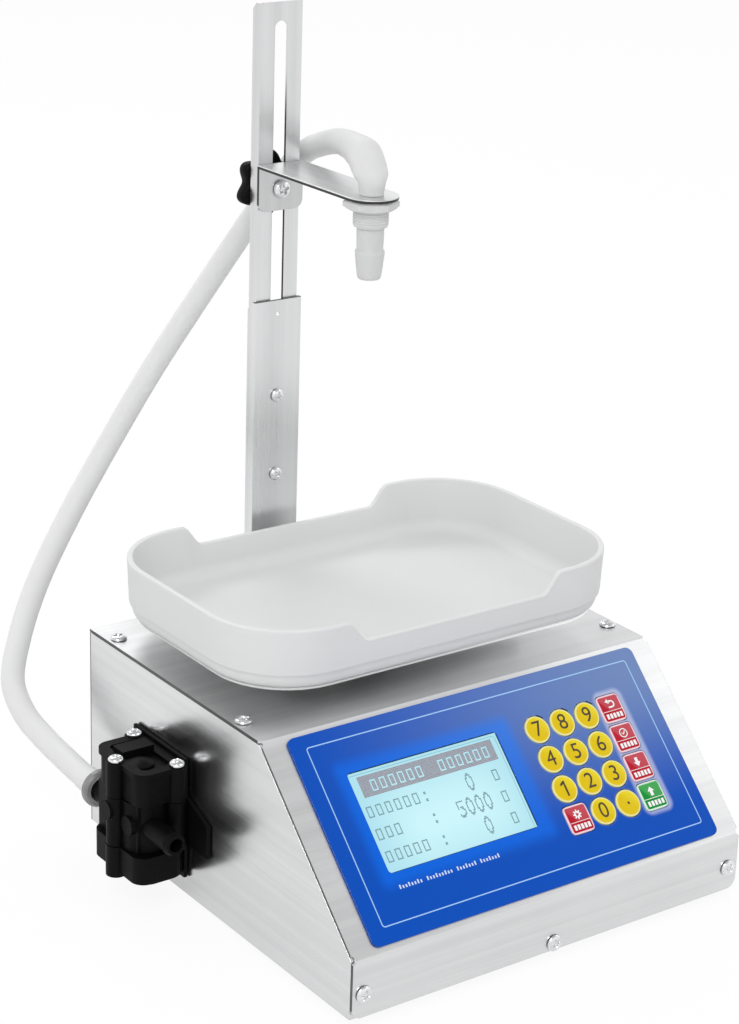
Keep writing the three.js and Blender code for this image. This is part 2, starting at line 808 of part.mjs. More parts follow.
add("column_sleeve", cut(
  channel(sleeve.width, sleeve.depth, sleeveY, sleeve.bottom, sleeve.top, sleeve.chamfer),
  ...sleeveScrewHeights.map(columnHole),
  rod("y", [0, pinHole.height], sleeveY - overrun, sleeveY + overrun, pinHole.radius, smallSteps),
), steel);
add("column_bar", cut(
  channel(barWidth, bar.depth, barY, bar.bottom, bar.top, bar.chamfer),
  slotTool,
  ...sleeveScrewHeights.map(columnHole),
), steel);
add("column_spacer", block(
  [-spacer.width / 2, backY + gap, spacer.bottom],
  [spacer.width / 2, sleeveY - gap, spacer.top],
), aluminium);
sleeveScrewHeights.forEach((z, i) => {
  const mesh = add(`sleeve_screw_${["lower", "upper"][i]}`, screwShape(sleeveScrew), zinc);
  mesh.rotation.x = Math.PI / 2;
  mesh.position.set(0, sleeveY - gap, z);
});

// Bracket: a tab against the bar and a plate with a round nose over the tray
const tabBack = barY - gap;
const tabFront = tabBack - bracket.thickness;
const plateUnder = bracket.top - bracket.thickness;
const clampZ = bracket.top - clamp.drop;

function bracketShape() {
  const w = bracket.width / 2;
  const r = bracket.corner;
  const bottom = bracket.top - bracket.drop;
  const tab = new THREE.Shape();
  tab.moveTo(-w, bracket.top);
  tab.lineTo(-w, bottom + r);
  tab.absarc(-w + r, bottom + r, r, Math.PI, 1.5 * Math.PI);
  tab.absarc(w - r, bottom + r, r, 1.5 * Math.PI, 2 * Math.PI);
  tab.lineTo(w, bracket.top);
  tab.closePath();
  const plate = new THREE.Shape();
  plate.moveTo(w, tabBack);
  plate.lineTo(-w, tabBack);
  plate.lineTo(-w, bracket.noseY);
  plate.absarc(0, bracket.noseY, w, Math.PI, 2 * Math.PI);
  plate.closePath();
  const folded = join(
    prism(tab, "y", tabFront, tabBack, { curveSegments: 5 }),
    prism(plate, "z", plateUnder, bracket.top, { curveSegments: 14 }),
  );
  return cut(
    folded,
    rod("z", [0, bracket.noseY], plateUnder - overrun, bracket.top + overrun, nozzle.neck + gap),
    rod("y", [0, clampZ], tabFront - overrun, tabBack + overrun, clamp.shank + gap, smallSteps),
  );
}

add("nozzle_bracket", bracketShape(), steel);

const clampShape = { ...screw, head: clamp.head, headHeight: clamp.headHeight, shank: clamp.shank };
const clampEnd = barY + sheet + gap + clamp.reach;
const clampScrew = add("clamp_screw", screwShape({
  ...clampShape,
  length: clampEnd - tabFront + gap,
  slotDepth: clamp.slotDepth,
}), zinc);
clampScrew.rotation.x = Math.PI / 2;
clampScrew.position.set(0, tabFront - gap, clampZ);

// Lobed knob behind the bar; its hub reaches into the channel
function knobShape() {
  const points = [];
  for (let i = 0; i < knobSteps; i++) {
    const angle = (2 * Math.PI * i) / knobSteps;
    const wave = (1 - Math.cos(knob.lobes * (angle - knob.turn))) / 2;
    const reach = knob.radius - knob.edge - knob.dip * wave;
    points.push([reach * Math.sin(angle), clampZ + reach * Math.cos(angle)]);
  }
  const hubFrom = barY + sheet + gap;
  const from = hubFrom + knob.hubLength;
  const head = prism(outline(points), "y", from, from + knob.thickness, {
    bevelThickness: knob.edge,
    bevelSize: knob.edge,
    bevelSegments: 1,
  });
  return cut(
    join(head, rod("y", [0, clampZ], hubFrom, from + knob.edge + gap, knob.hub)),
    rod("y", [0, clampZ], hubFrom - overrun, clampEnd + gap, clamp.shank + gap, smallSteps),
  );
}

add("clamp_knob", knobShape(), blackPlastic);

// Nozzle: a hose barb up, a hex against the plate, a thread, a plain shaft and a barbed tip
function nozzleShape() {
  const hexTop = plateUnder - gap;
  const hexBottom = hexTop - nozzle.hexHeight;
  const threadBottom = hexBottom - nozzle.threadLength;
  const barbTop = threadBottom - nozzle.shaftLength;
  const tipBottom = barbTop - nozzle.tipLength;
  const core = turned([
    [nozzle.bore, tipBottom],
    [nozzle.tip - nozzle.chamfer, tipBottom],
    [nozzle.tip, tipBottom + nozzle.chamfer],
    [nozzle.barb, barbTop - nozzle.barbEdge],
    [nozzle.barb, barbTop],
    [nozzle.shaft, barbTop + nozzle.barbEdge],
    [nozzle.shaft, threadBottom - nozzle.chamfer],
    [nozzle.thread - nozzle.chamfer, threadBottom],
    [nozzle.thread, threadBottom + nozzle.chamfer],
    [nozzle.thread, hexTop - nozzle.chamfer],
    [nozzle.neck, hexTop - nozzle.chamfer],
    [nozzle.neck, bracket.top + nozzle.neckTop],
    [nozzle.bore, bracket.top + nozzle.neckTop],
    [nozzle.bore, tipBottom],
  ]);
  const hex = new THREE.CylinderGeometry(1, 1, nozzle.hexHeight, 6).rotateX(Math.PI / 2);
  const hexReach = nozzle.hexFlats / 2 / Math.cos(Math.PI / 6);
  hex.scale(hexReach, hexReach, 1).translate(0, 0, (hexTop + hexBottom) / 2);
  const ring = cut(hex, rod("z", [0, 0], hexBottom - overrun, hexTop + overrun, nozzle.bore + gap));
  return join(core, ring).translate(0, bracket.noseY, 0);
}

add("nozzle", nozzleShape(), nylon);

// Pump: a plate on the wall carries the stack of cup, body and head, held by three long screws
const pumpOutline = (grow) =>
  roundedOutline(
    pump.width + grow,
    pump.back - pump.front + 2 * grow,
    pump.corner,
    pumpInnerX - (pump.width + grow) / 2,
    pumpMidY,
  );
const pumpScrewPlaces = [
  ["pump_screw_back", pumpInnerX - pumpBossInset, pump.back - pumpBossInset / 3],
  ["pump_screw_front", pumpInnerX - pumpBossInset, pump.front + pumpBossInset / 2],
  ["pump_screw_outer", pumpOuterX, pumpMidY],
];
const pumpHoles = (from, to) =>
  pumpScrewPlaces.map(([, x, y]) => rod("z", [x, y], from, to, pumpScrew.shank + gap, smallSteps));
const pumpBosses = (from, to) =>
  pumpScrewPlaces.map(([, x, y]) => rod("z", [x, y], from, to, pumpScrew.boss));
const cupTop = pump.bottom + pumpCup.height;
const bodyTop = cupTop + gap + pumpCore.height;
const bulgeX = pumpOuterX + pumpBulge.radius;
const bulgeY = pump.front + pumpBulge.fromFront;

function pumpPlateShape() {
  const { front, back, bottom, top, ear } = pumpPlate;
  const shape = outline([
    [front, bottom],
    [back, bottom],
    [back, pumpEar.bottom],
    [back + ear, pumpEar.bottom],
    [back + ear, pumpEar.shoulder],
    [back, pumpEar.root],
    [back, top],
    [front, top],
    [front, pumpEar.root],
    [front - ear, pumpEar.shoulder],
    [front - ear, pumpEar.bottom],
    [front, pumpEar.bottom],
  ]);
  const through = [plateOuterX - overrun, plateX + overrun];
  const hole = rod("x", [pumpMidY, motor.height], ...through, shaftHole + gap, smallSteps);
  return cut(prism(shape, "x", plateOuterX, plateX), hole);
}

function pumpCupShape() {
  const shell = prism(pumpOutline(-2 * pumpCup.bevel + 2 * pumpCup.grow), "z", pump.bottom, cupTop, {
    curveSegments: 5,
    bevelThickness: pumpCup.bevel,
    bevelSize: pumpCup.bevel,
    bevelSegments: 2,
  });
  const square = prism(pumpOutline(pumpCup.grow), "z", pump.bottom + pumpCup.bevel, cupTop, {
    curveSegments: 5,
  });
  const [, lugX, lugY] = pumpScrewPlaces[2];
  const lug = rod("z", [lugX, lugY], pump.bottom, cupTop, pumpCup.lug);
  const inside = pumpOuterX + pumpCup.wall;
  const cavity = block(
    [inside, pump.front + 2 * pumpCup.wall, motor.height - shaft.eccentric - shaft.throw - gap],
    [pumpInnerX - 2 * pumpCup.wall, pump.back - 2 * pumpCup.wall, cupTop + overrun],
  );
  const bore = rod("x", [pumpMidY, motor.height], inside, pumpInnerX + overrun, shaftHole, smallSteps);
  const keep = block(
    [pumpOuterX - pumpScrew.boss - overrun, pump.front - overrun, pump.bottom - overrun],
    [pumpInnerX, pump.back + overrun, cupTop],
  );
  const whole = join(square, lug, trimmed(shell, keep));
  return cut(whole, cavity, bore, ...pumpHoles(pump.bottom + pumpCup.bevel, cupTop + overrun));
}

const trimmed = (piece, keep) => geometryOf(solid(piece).intersect(solid(keep)));

function pumpBodyShape() {
  const from = cupTop + gap;
  const z = ports.height;
  const mouth = inlet.mouth;
  const lipEnd = mouth + inlet.lipLength;
  const [narrow, broad] = [inlet.outer - inlet.lip, inlet.outer + inlet.lip];
  const barb = rod("y", [portX, z], lipEnd, bulgeY, inlet.outer);
  const lip = rod("y", [portX, z], mouth, lipEnd, narrow, roundSteps, broad);
  const stub = rod("y", [portX, z], pump.back - overrun, pump.back + outlet.reach, outlet.outer);
  const postFace = pumpOuterX - pumpScrew.boss - plug.proud;
  const plugs = [
    rod("x", [pumpMidY - plug.fromMiddle, plug.height], pumpOuterX - plug.proud, bulgeX, plug.radius),
    rod("x", [pumpMidY + plug.postOffset, plug.postHeight], postFace, pumpOuterX, plug.radius),
  ];
  const core = block(
    [pumpOuterX + pumpCore.fromOutside, pump.front + pumpCore.fromFront, from],
    [pumpInnerX, pump.back - pumpCore.fromBack, bodyTop],
  );
  const bulge = rod("z", [bulgeX, bulgeY], from, bodyTop, pumpBulge.radius);
  const whole = join(core, bulge, ...pumpBosses(from, bodyTop), barb, lip, stub, ...plugs);
  return cut(
    whole,
    rod("y", [portX, z], mouth - overrun, mouth + inlet.boreDepth, inlet.bore),
    ...pumpHoles(from - overrun, bodyTop + overrun),
    block(
      [pumpInnerX, pump.front - overrun, from - overrun],
      [pumpInnerX + pumpScrew.boss + overrun, pump.back + pumpScrew.boss + overrun, bodyTop + overrun],
    ),
  );
}

function pumpHeadShape() {
  const flangeFrom = pump.top - pumpFlange.height;
  const base = prism(pumpOutline(0), "z", flangeFrom, pump.top, { curveSegments: 5 });
  const rim = pumpFlange.rim;
  const pocket = prism(
    roundedOutline(
      pump.width - pumpScrew.boss - 2 * rim,
      pump.back - pump.front - 2 * rim - pumpScrew.boss,
      rim,
      (pumpInnerX + pumpOuterX) / 2,
      pumpMidY,
    ),
    "z",
    pump.top - pumpFlange.pocket,
    pump.top + overrun,
    { curveSegments: 3 },
  );
  const floor = pump.top - pumpFlange.pocket - gap;
  const dome = turned([
    [0, floor],
    [pumpDome.radius, floor],
    [pumpDome.radius, pump.top - gap],
    [pumpDome.radius / 2, pump.top + pumpDome.rise / 2],
    [0, pump.top + pumpDome.rise],
  ]).translate(pumpOuterX + pumpDome.fromOutside, pump.front + pumpDome.fromFront, 0);
  const portLeft = pumpOuterX + pumpScrew.boss;
  const portFront = pump.front + pumpPort.fromFront - pumpPort.width / 2;
  const port = block(
    [portLeft, portFront, floor],
    [portLeft + pumpPort.length, portFront + pumpPort.width, pump.top + pumpPort.rise],
  );
  const from = bodyTop + gap;
  const neck = prism(pumpOutline(-pumpFlange.step), "z", from, flangeFrom + gap, { curveSegments: 5 });
  const whole = join(cut(base, pocket), neck, ...pumpBosses(from, pump.top), dome, port);
  return cut(
    whole,
    ...pumpHoles(bodyTop - overrun, pump.top + overrun),
    block(
      [pumpInnerX, pump.front - overrun, bodyTop - overrun],
      [pumpInnerX + pumpScrew.boss + overrun, pump.back + pumpScrew.boss + overrun, pump.top + overrun],
    ),
  );
}

add("pump_plate", pumpPlateShape(), blackPlastic);
add("pump_cup", pumpCupShape(), blackPlastic);
add("pump_body", pumpBodyShape(), blackPlastic);
add("pump_head", pumpHeadShape(), blackPlastic);
for (const [name, x, y] of pumpScrewPlaces) {
  add(name, screwShape(pumpScrew), zinc).position.set(x, y, pump.top + gap);
}

const collarBack = pump.back + outlet.reach;
const collarProfile = [
  [outlet.outer + gap, 0],
  [collar.outer - collar.chamfer, 0],
  [collar.outer, collar.chamfer],
  [collar.outer, collar.length],
  [outlet.outer + gap, collar.length],
  [outlet.outer + gap, 0],
];
const collarMesh = add("outlet_collar", turned(collarProfile), smokyPlastic);
collarMesh.rotation.x = -Math.PI / 2;
collarMesh.position.set(portX, collarBack - collar.length, ports.height);

// Motor inside the case; its shaft passes the wall and the plate and turns an eccentric in the cup
const motorFace = -sideX + sheet + gap;

function motorShape() {
  const at = [pumpMidY, motor.height];
  const whole = join(
    rod("x", at, motorFace, motorFace + motor.length, motor.radius),
    rod("x", at, motorFace + motor.length - gap, motorFace + motor.length + motor.canLength, motor.can),
  );
  return cut(whole, rod("x", at, motorFace - overrun, motorFace + shaft.seat + gap, shaftHole, smallSteps));
}

function shaftShape() {
  const at = [pumpMidY, motor.height];
  const end = pumpOuterX + pumpCup.wall + gap;
  const middle = (pumpOuterX + pumpInnerX) / 2;
  return join(
    rod("x", at, end, motorFace + shaft.seat, shaft.radius, smallSteps),
    rod(
      "x",
      [pumpMidY, motor.height - shaft.throw],
      middle - shaft.eccentricLength / 2,
      middle + shaft.eccentricLength / 2,
      shaft.eccentric,
    ),
  );
}

add("pump_motor", motorShape(), zinc);
add("pump_shaft", shaftShape(), zinc);

// Mains inlet: a socket with three pins, held in the back wall
function inletShape() {
  const { x, width, height, depth, border, face, wall, pin, pinStep } = powerInlet;
  const z = backPanelHeight;
  const [w, h] = [width / 2, height / 2];
  const outer = backY + gap + face;
  const inner = outer - depth - face;
  const body = join(
    block([x - w, inner, z - h], [x + w, outer - gap, z + h]),
    block([x - w - border, backY + gap, z - h - border], [x + w + border, outer, z + h + border]),
  );
  const well = block(
    [x - w + wall, inner + wall, z - h + wall],
    [x + w - wall, outer + overrun, z + h - wall],
  );
  const pins = [-1, 0, 1].map((i) => {
    const up = i ? -pin : pin;
    return rod("y", [x + i * pinStep, z + up], inner + wall - gap, outer - wall, pin, smallSteps);
  });
  return join(cut(body, well), ...pins);
}

// Rocker switch: its box in the wall, and a rocker that turns about X
const rockerY = backY + gap;

function switchBoxShape() {
  const { x, width, height, depth, border, face } = switchBox;
  const z = backPanelHeight;
  const [w, h] = [width / 2, height / 2];
  const outer = backY + gap + face;
  const inner = outer - depth;
  const body = join(
    block([x - w, inner, z - h], [x + w, outer - gap, z + h]),
    block([x - w - border, backY + gap, z - h - border], [x + w + border, outer, z + h + border]),
  );
  const [rw, rh] = [rocker.width / 2 + gap, rocker.radius + gap];
  const well = block([x - rw, rockerY - rh, z - rh], [x + rw, outer + overrun, z + rh]);
  const pivot = rod("x", [rockerY, z], x - w + gap, x + w - gap, rocker.pin + gap, smallSteps);
  return cut(body, well, pivot);
}

function rockerShape() {
  const { width, radius, rise, valley, back, pin, tilt } = rocker;
  const reach = Math.sqrt(radius * radius - rise * rise);
  const low = Math.sqrt(radius * radius - back * back);
  const start = Math.atan2(back, low);
  const shape = new THREE.Shape();
  shape.moveTo(rise, reach);
  shape.lineTo(valley, 0);
  shape.lineTo(rise, -reach);
  const rim = Math.asin(reach / radius);
  const heel = Math.PI / 2 + start;
  for (let i = 0; i <= rockerSteps; i++) {
    const angle = -rim - ((heel - rim) * i) / rockerSteps;
    shape.lineTo(radius * Math.cos(angle), radius * Math.sin(angle));
  }
  for (let i = 0; i <= rockerSteps; i++) {
    const angle = heel - ((heel - rim) * i) / rockerSteps;
    shape.lineTo(radius * Math.cos(angle), radius * Math.sin(angle));
  }
  const cap = prism(shape, "x", -width / 2, width / 2);
  const axleEnd = switchBox.width / 2 - 2 * gap;
  const axle = rod("x", [0, 0], -axleEnd, axleEnd, pin, smallSteps);
  return join(cap, axle).rotateX(-tilt).translate(switchBox.x, rockerY, backPanelHeight);
}

add("power_inlet", inletShape(), blackPlastic);
add("power_switch", switchBoxShape(), blackPlastic);
add("switch_rocker", rockerShape(), blackPlastic);

// Free hose
const route = new THREE.CatmullRomCurve3(hoseRoute.map((p) => new THREE.Vector3(...p)));
const ring = new THREE.Shape();
ring.absarc(0, 0, hose.radius, 0, 2 * Math.PI);
add("hose", new THREE.ExtrudeGeometry(ring, {
  steps: hose.steps,
  extrudePath: route,
  curveSegments: hose.halfSides,
}), clearHose);

export default group;
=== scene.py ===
import json
import math

import bmesh
import bpy
import numpy as np
from mathutils import Matrix, Vector

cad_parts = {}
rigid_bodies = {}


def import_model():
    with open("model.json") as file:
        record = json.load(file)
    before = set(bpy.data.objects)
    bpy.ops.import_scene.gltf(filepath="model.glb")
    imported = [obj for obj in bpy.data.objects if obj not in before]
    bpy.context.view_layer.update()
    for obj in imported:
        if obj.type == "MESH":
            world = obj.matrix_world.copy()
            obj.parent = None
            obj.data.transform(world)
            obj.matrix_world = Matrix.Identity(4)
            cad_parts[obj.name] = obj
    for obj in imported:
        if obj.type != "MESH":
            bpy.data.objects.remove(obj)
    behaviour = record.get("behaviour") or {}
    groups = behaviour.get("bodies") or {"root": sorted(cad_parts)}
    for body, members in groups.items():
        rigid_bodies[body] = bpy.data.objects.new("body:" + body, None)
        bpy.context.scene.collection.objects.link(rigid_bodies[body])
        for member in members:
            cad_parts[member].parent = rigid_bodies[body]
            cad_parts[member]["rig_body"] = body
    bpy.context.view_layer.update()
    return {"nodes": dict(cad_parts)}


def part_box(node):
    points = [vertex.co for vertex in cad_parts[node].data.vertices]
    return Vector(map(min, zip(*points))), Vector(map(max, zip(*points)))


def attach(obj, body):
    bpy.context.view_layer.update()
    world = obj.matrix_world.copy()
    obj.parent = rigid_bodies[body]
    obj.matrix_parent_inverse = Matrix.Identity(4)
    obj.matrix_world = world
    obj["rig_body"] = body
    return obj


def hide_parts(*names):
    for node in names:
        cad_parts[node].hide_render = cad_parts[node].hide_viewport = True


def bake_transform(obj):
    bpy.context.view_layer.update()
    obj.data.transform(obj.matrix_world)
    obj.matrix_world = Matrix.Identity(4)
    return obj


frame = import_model()
solids = frame["nodes"]
scene = bpy.context.scene
scene.view_settings.view_transform = "Standard"

# Places that several pieces share, in millimetres.
nozzle_y = 41.5
clamp_height = 271.9
bracket_top = 283.0
bracket_bottom = 281.5
half_width = 100.0


# Camera: it stands to the left of the machine and above its keypad, with a long lens and a
# slight roll, as in the photograph.
def look_along(place, ahead, roll):
    """Matrix of a camera at place that looks along ahead, its right hand raised by roll degrees."""
    ahead = Vector(ahead).normalized()
    right = ahead.cross(Vector((0, 0, 1))).normalized()
    up = right.cross(ahead)
    sine, cosine = math.sin(math.radians(roll)), math.cos(math.radians(roll))
    axes = (right * cosine + up * sine, up * cosine - right * sine, -ahead)
    return Matrix.Translation(place) @ Matrix(axes).transposed().to_4x4()


camera = bpy.data.objects.new("camera", bpy.data.cameras.new("camera"))
scene.collection.objects.link(camera)
scene.camera = camera
camera.data.sensor_width = 36
camera.data.lens = 88.7
camera.matrix_world = look_along((-0.59596, -0.7774, 0.51695), (0.554896, 0.757048, -0.344919), 1.896)
camera.data.clip_start = 0.01


# Shader sums: a wire is one output of a shader node, and a finish is one node tree. Sums of
# wires read as arithmetic, and everything else comes from Finish.node.
class Wire:
    """One output of a shader node; each operator adds a Math node."""

    def __init__(self, finish, socket):
        self.finish = finish
        self.socket = socket

    def maths(self, operation, *values):
        return self.finish.node("ShaderNodeMath", {"operation": operation}, dict(enumerate(values)))

    def __add__(self, other):
        return self.maths("ADD", self, other)

    __radd__ = __add__

    def __sub__(self, other):
        return self.maths("SUBTRACT", self, other)

    def __rsub__(self, other):
        return self.maths("SUBTRACT", other, self)

    def __mul__(self, other):
        return self.maths("MULTIPLY", self, other)

    __rmul__ = __mul__

    def __truediv__(self, other):
        return self.maths("DIVIDE", self, other)

    def __abs__(self):
        return self.maths("ABSOLUTE", self)

    def power(self, other):
        return self.maths("POWER", self, other)

    def most(self, other):
        return self.maths("MAXIMUM", self, other)

    def rise(self, low, high):
        """0 below low, 1 above high, smooth between."""
        values = {"Value": self, "From Min": low, "From Max": high}
        return self.finish.node("ShaderNodeMapRange", {"interpolation_type": "SMOOTHSTEP"}, values)


class Finish:
    """A surface. Fixed numbers go on the shader's sockets, and wires carry what varies."""

    def __init__(self, name, tree=None, **fixed):
        self.shader = None
        self.tree = tree
        if tree is None:
            self.material = bpy.data.materials.new(name)
            self.material.use_nodes = True
            self.tree = self.material.node_tree
            self.tree.nodes.clear()
            self.shader = self.tree.nodes.new("ShaderNodeBsdfPrincipled")
            self.output = self.tree.nodes.new("ShaderNodeOutputMaterial")
            self.tree.links.new(self.shader.outputs[0], self.output.inputs[0])
            self.set(**fixed)

    def feed(self, socket, value):
        if isinstance(value, Wire):
            self.tree.links.new(value.socket, socket)
        else:
            socket.default_value = value

    def node(self, kind, settings=(), inputs=(), output=0):
        made = self.tree.nodes.new(kind)
        for key, value in dict(settings).items():
            setattr(made, key, value)
        for key, value in dict(inputs).items():
            self.feed(made.inputs[key], value)
        return Wire(self, made.outputs[output])

    def set(self, **values):
        """Values of the shader's sockets, with _ for a space in a socket's name."""
        for key, value in values.items():
            self.feed(self.shader.inputs[key.replace("_", " ")], value)

    def here(self):
        return self.node("ShaderNodeTexCoord", output="Object")

    def parts(self, vector):
        return [self.node("ShaderNodeSeparateXYZ", inputs={0: vector}, output=i) for i in range(3)]

    def mapped(self, vector, scale=(1, 1, 1), turn=(0, 0, 0), place=(0, 0, 0), kind="POINT"):
        values = {"Vector": vector, "Location": place, "Rotation": turn, "Scale": scale}
        return self.node("ShaderNodeMapping", {"vector_type": kind}, values)

    def noise(self, vector, scale, detail=2.0, rough=0.5):
        values = {"Vector": vector, "Scale": scale, "Detail": detail, "Roughness": rough}
        return self.node("ShaderNodeTexNoise", inputs=values)

    def mix(self, share, one, two):
        """Colour one where share is 0, and colour two where it is 1."""
        return self.node("ShaderNodeMix", {"data_type": "RGBA"}, {0: share, 6: one, 7: two}, 2)

    def bump(self, height, depth, strength=1.0):
        values = {"Height": height, "Distance": depth, "Strength": strength}
        return self.node("ShaderNodeBump", inputs=values)


# Room: white behind the machine for the camera and for clear plastic, white that darkens
# overhead in metal, and a plain grey sky for all other light. A pale floor keeps the shadow.
world = bpy.data.worlds.new("room")
scene.world = world
world.use_nodes = True
world.node_tree.nodes.clear()
sky = Finish("sky", world.node_tree)
path = world.node_tree.nodes.new("ShaderNodeLightPath")
seen = Wire(sky, path.outputs["Is Camera Ray"])
seen = seen.most(Wire(sky, path.outputs["Is Transmission Ray"]))
mirrored = Wire(sky, path.outputs["Is Glossy Ray"])
heading = sky.parts(sky.node("ShaderNodeTexCoord", output="Generated"))[2]
level_low_in_metal = 1.09
level_lost_overhead = 0.52
level_of_other_light = 0.72
in_metal = level_low_in_metal - heading.rise(0.25, 0.8) * level_lost_overhead
level = seen * (1 - mirrored) + mirrored * in_metal
level = level + (1 - seen.most(mirrored)) * level_of_other_light
glow = sky.node("ShaderNodeBackground", inputs={"Color": (1, 1, 1, 1), "Strength": level})
room_output = world.node_tree.nodes.new("ShaderNodeOutputWorld")
world.node_tree.links.new(glow.socket, room_output.inputs[0])

ground = -0.004
far = 6
floor_corners = [(-far, -far, ground), (far, -far, ground), (far, far, ground), (-far, far, ground)]
floor_mesh = bpy.data.meshes.new("floor")
floor_mesh.from_pydata(floor_corners, [], [(0, 1, 2, 3)])
floor = bpy.data.objects.new("floor", floor_mesh)
scene.collection.objects.link(floor)
paper = Finish("floor_paper", Base_Color=(0.86, 0.86, 0.86, 1), Roughness=0.9)
paper.set(Specular_IOR_Level=0.1)
white = paper.node("ShaderNodeEmission", inputs={"Color": (1, 1, 1, 1), "Strength": 1.012})
direct = paper.node("ShaderNodeLightPath", output="Is Camera Ray")
glanced = paper.node("ShaderNodeLightPath", output="Is Glossy Ray")
white_share_direct = 0.9
white_share_in_metal = 0.6
white_share = (direct * white_share_direct).most(glanced * white_share_in_metal)
blended = paper.node("ShaderNodeMixShader", inputs={0: white_share})
paper.tree.links.new(paper.shader.outputs[0], blended.socket.node.inputs[1])
paper.tree.links.new(white.socket, blended.socket.node.inputs[2])
paper.tree.links.new(blended.socket, paper.output.inputs[0])
floor_mesh.materials.append(paper.material)


def soft_lamp(name, place, target, width, height, watts):
    """Flat lamp of width by height metres at place, facing target."""
    lamp = bpy.data.lights.new(name, "AREA")
    lamp.shape = "RECTANGLE"
    lamp.size = width
    lamp.size_y = height
    lamp.energy = watts
    holder = bpy.data.objects.new(name, lamp)
    scene.collection.objects.link(holder)
    holder.matrix_world = look_along(place, Vector(target) - Vector(place), 0)


soft_lamp("key_lamp", (-1.3, -1.1, 1.7), (0, 0, 0.15), 0.9, 0.9, 17)
soft_lamp("right_lamp", (1.3, -0.5, 1.15), (0, -0.05, 0.1), 0.6, 0.6, 1.7)
soft_lamp("back_lamp", (0.2, 1.5, 1.6), (0, 0, 0.15), 1.2, 0.7, 10)


# Hose: a milky, flexible tube of 10.5 mm over a 7.5 mm bore. It is pushed on the pump's outlet,
# rises behind the column, comes over its right side and is forced over the nozzle's upper barb.
hose_route = 0.001 * np.array([
    (-116.8, 64.3, 35.5),
    (-116.8, 76, 35.5),
    (-116.9, 92, 37),
    (-118, 108, 40.4),
    (-119.4, 124, 46.4),
    (-117.6, 138, 56.2),
    (-107.5, 150, 71),
    (-93, 160.2, 90),
    (-72, 168, 116),
    (-50.5, 171.3, 144),
    (-27, 169.3, 179),
    (-8, 162.5, 210),
    (4, 154.5, 233),
    (11.5, 146, 251),
    (17.8, 136, 268),
    (21.2, 127, 279.4),
    (20.8, 116, 286),
    (18.3, 105, 289.9),
    (15.8, 95, 293),
    (12.7, 83.5, 295.9),
    (9, 71.5, 297.3),
    (5.5, 60, 297.5),
    (2.6, 50.2, 296.7),
    (1.2, 45.5, 294.8),
    (0.3, 42.4, 291.6),
    (0, 41.5, 288.4),
    (0, 41.5, 286.2),
    (0, 41.5, 283.9),
])


def smooth_route(points, count):
    """Centripetal Catmull-Rom curve through the points, cut into equal steps by its length."""
    ends = [2 * points[0] - points[1], *points, 2 * points[-1] - points[-2]]
    walked = []
    for a, b, c, d in zip(ends, ends[1:], ends[2:], ends[3:]):
        t = np.cumsum([0, *(np.linalg.norm(q - p) ** 0.5 for p, q in ((a, b), (b, c), (c, d)))])
        u = np.linspace(t[1], t[2], 40, endpoint=False)[:, None]
        ab = (t[1] - u) / (t[1] - t[0]) * a + (u - t[0]) / (t[1] - t[0]) * b
        bc = (t[2] - u) / (t[2] - t[1]) * b + (u - t[1]) / (t[2] - t[1]) * c
        cd = (t[3] - u) / (t[3] - t[2]) * c + (u - t[2]) / (t[3] - t[2]) * d
        abc = (t[2] - u) / (t[2] - t[0]) * ab + (u - t[0]) / (t[2] - t[0]) * bc
        bcd = (t[3] - u) / (t[3] - t[1]) * bc + (u - t[1]) / (t[3] - t[1]) * cd
        walked.append((t[2] - u) / (t[2] - t[1]) * abc + (u - t[1]) / (t[2] - t[1]) * bcd)
    line = np.concatenate([*walked, [points[-1]]])
    along = np.concatenate([[0], np.cumsum(np.linalg.norm(np.diff(line, axis=0), axis=1))])
    at = np.linspace(0, along[-1], count)
    return np.stack([np.interp(at, along, line[:, i]) for i in range(3)], axis=1), at


def carried_frames(line):
    """Across and up directions along a line, each turned as little as possible from the last."""
    ahead = np.gradient(line, axis=0)
    ahead /= np.linalg.norm(ahead, axis=1, keepdims=True)
    across = np.empty_like(ahead)
    across[0] = np.cross(ahead[0], (0, 0, 1))
    for i in range(1, len(line)):
        across[i] = across[i - 1] - ahead[i] * (across[i - 1] @ ahead[i])
    across /= np.linalg.norm(across, axis=1, keepdims=True)
    return across, np.cross(across, ahead)


def grid_mesh(name, points, closed=(False, False), caps=(False, False)):
    """Mesh of a grid of points [rows, columns, 3]; closed wraps rows or columns, caps fill the ends."""
    rows, columns = points.shape[:2]
    i = np.arange(rows if closed[0] else rows - 1)[:, None]
    j = np.arange(columns if closed[1] else columns - 1)[None, :]
    corners = [(i, j), (i, j + 1), (i + 1, j + 1), (i + 1, j)]
    faces = np.stack([(a % rows) * columns + b % columns for a, b in corners], axis=2).reshape(-1, 4)
    faces = faces.tolist()
    if caps[0]:
        faces.append(list(range(columns))[::-1])
    if caps[1]:
        faces.append(list(range((rows - 1) * columns, rows * columns)))
    mesh = bpy.data.meshes.new(name)
    mesh.from_pydata(points.reshape(-1, 3).tolist(), [], faces)
    return mesh


def piece_of(name, mesh, finish, smooth=None):
    """Object at the origin with one finish; edges sharper than smooth degrees stay sharp."""
    made = bpy.data.objects.new(name, mesh)
    scene.collection.objects.link(made)
    mesh.materials.clear()
    mesh.materials.append(finish.material)
    if smooth is not None:
        mesh.polygons.foreach_set("use_smooth", np.ones(len(mesh.polygons), bool))
        mesh.set_sharp_from_angle(angle=math.radians(smooth))
    return made


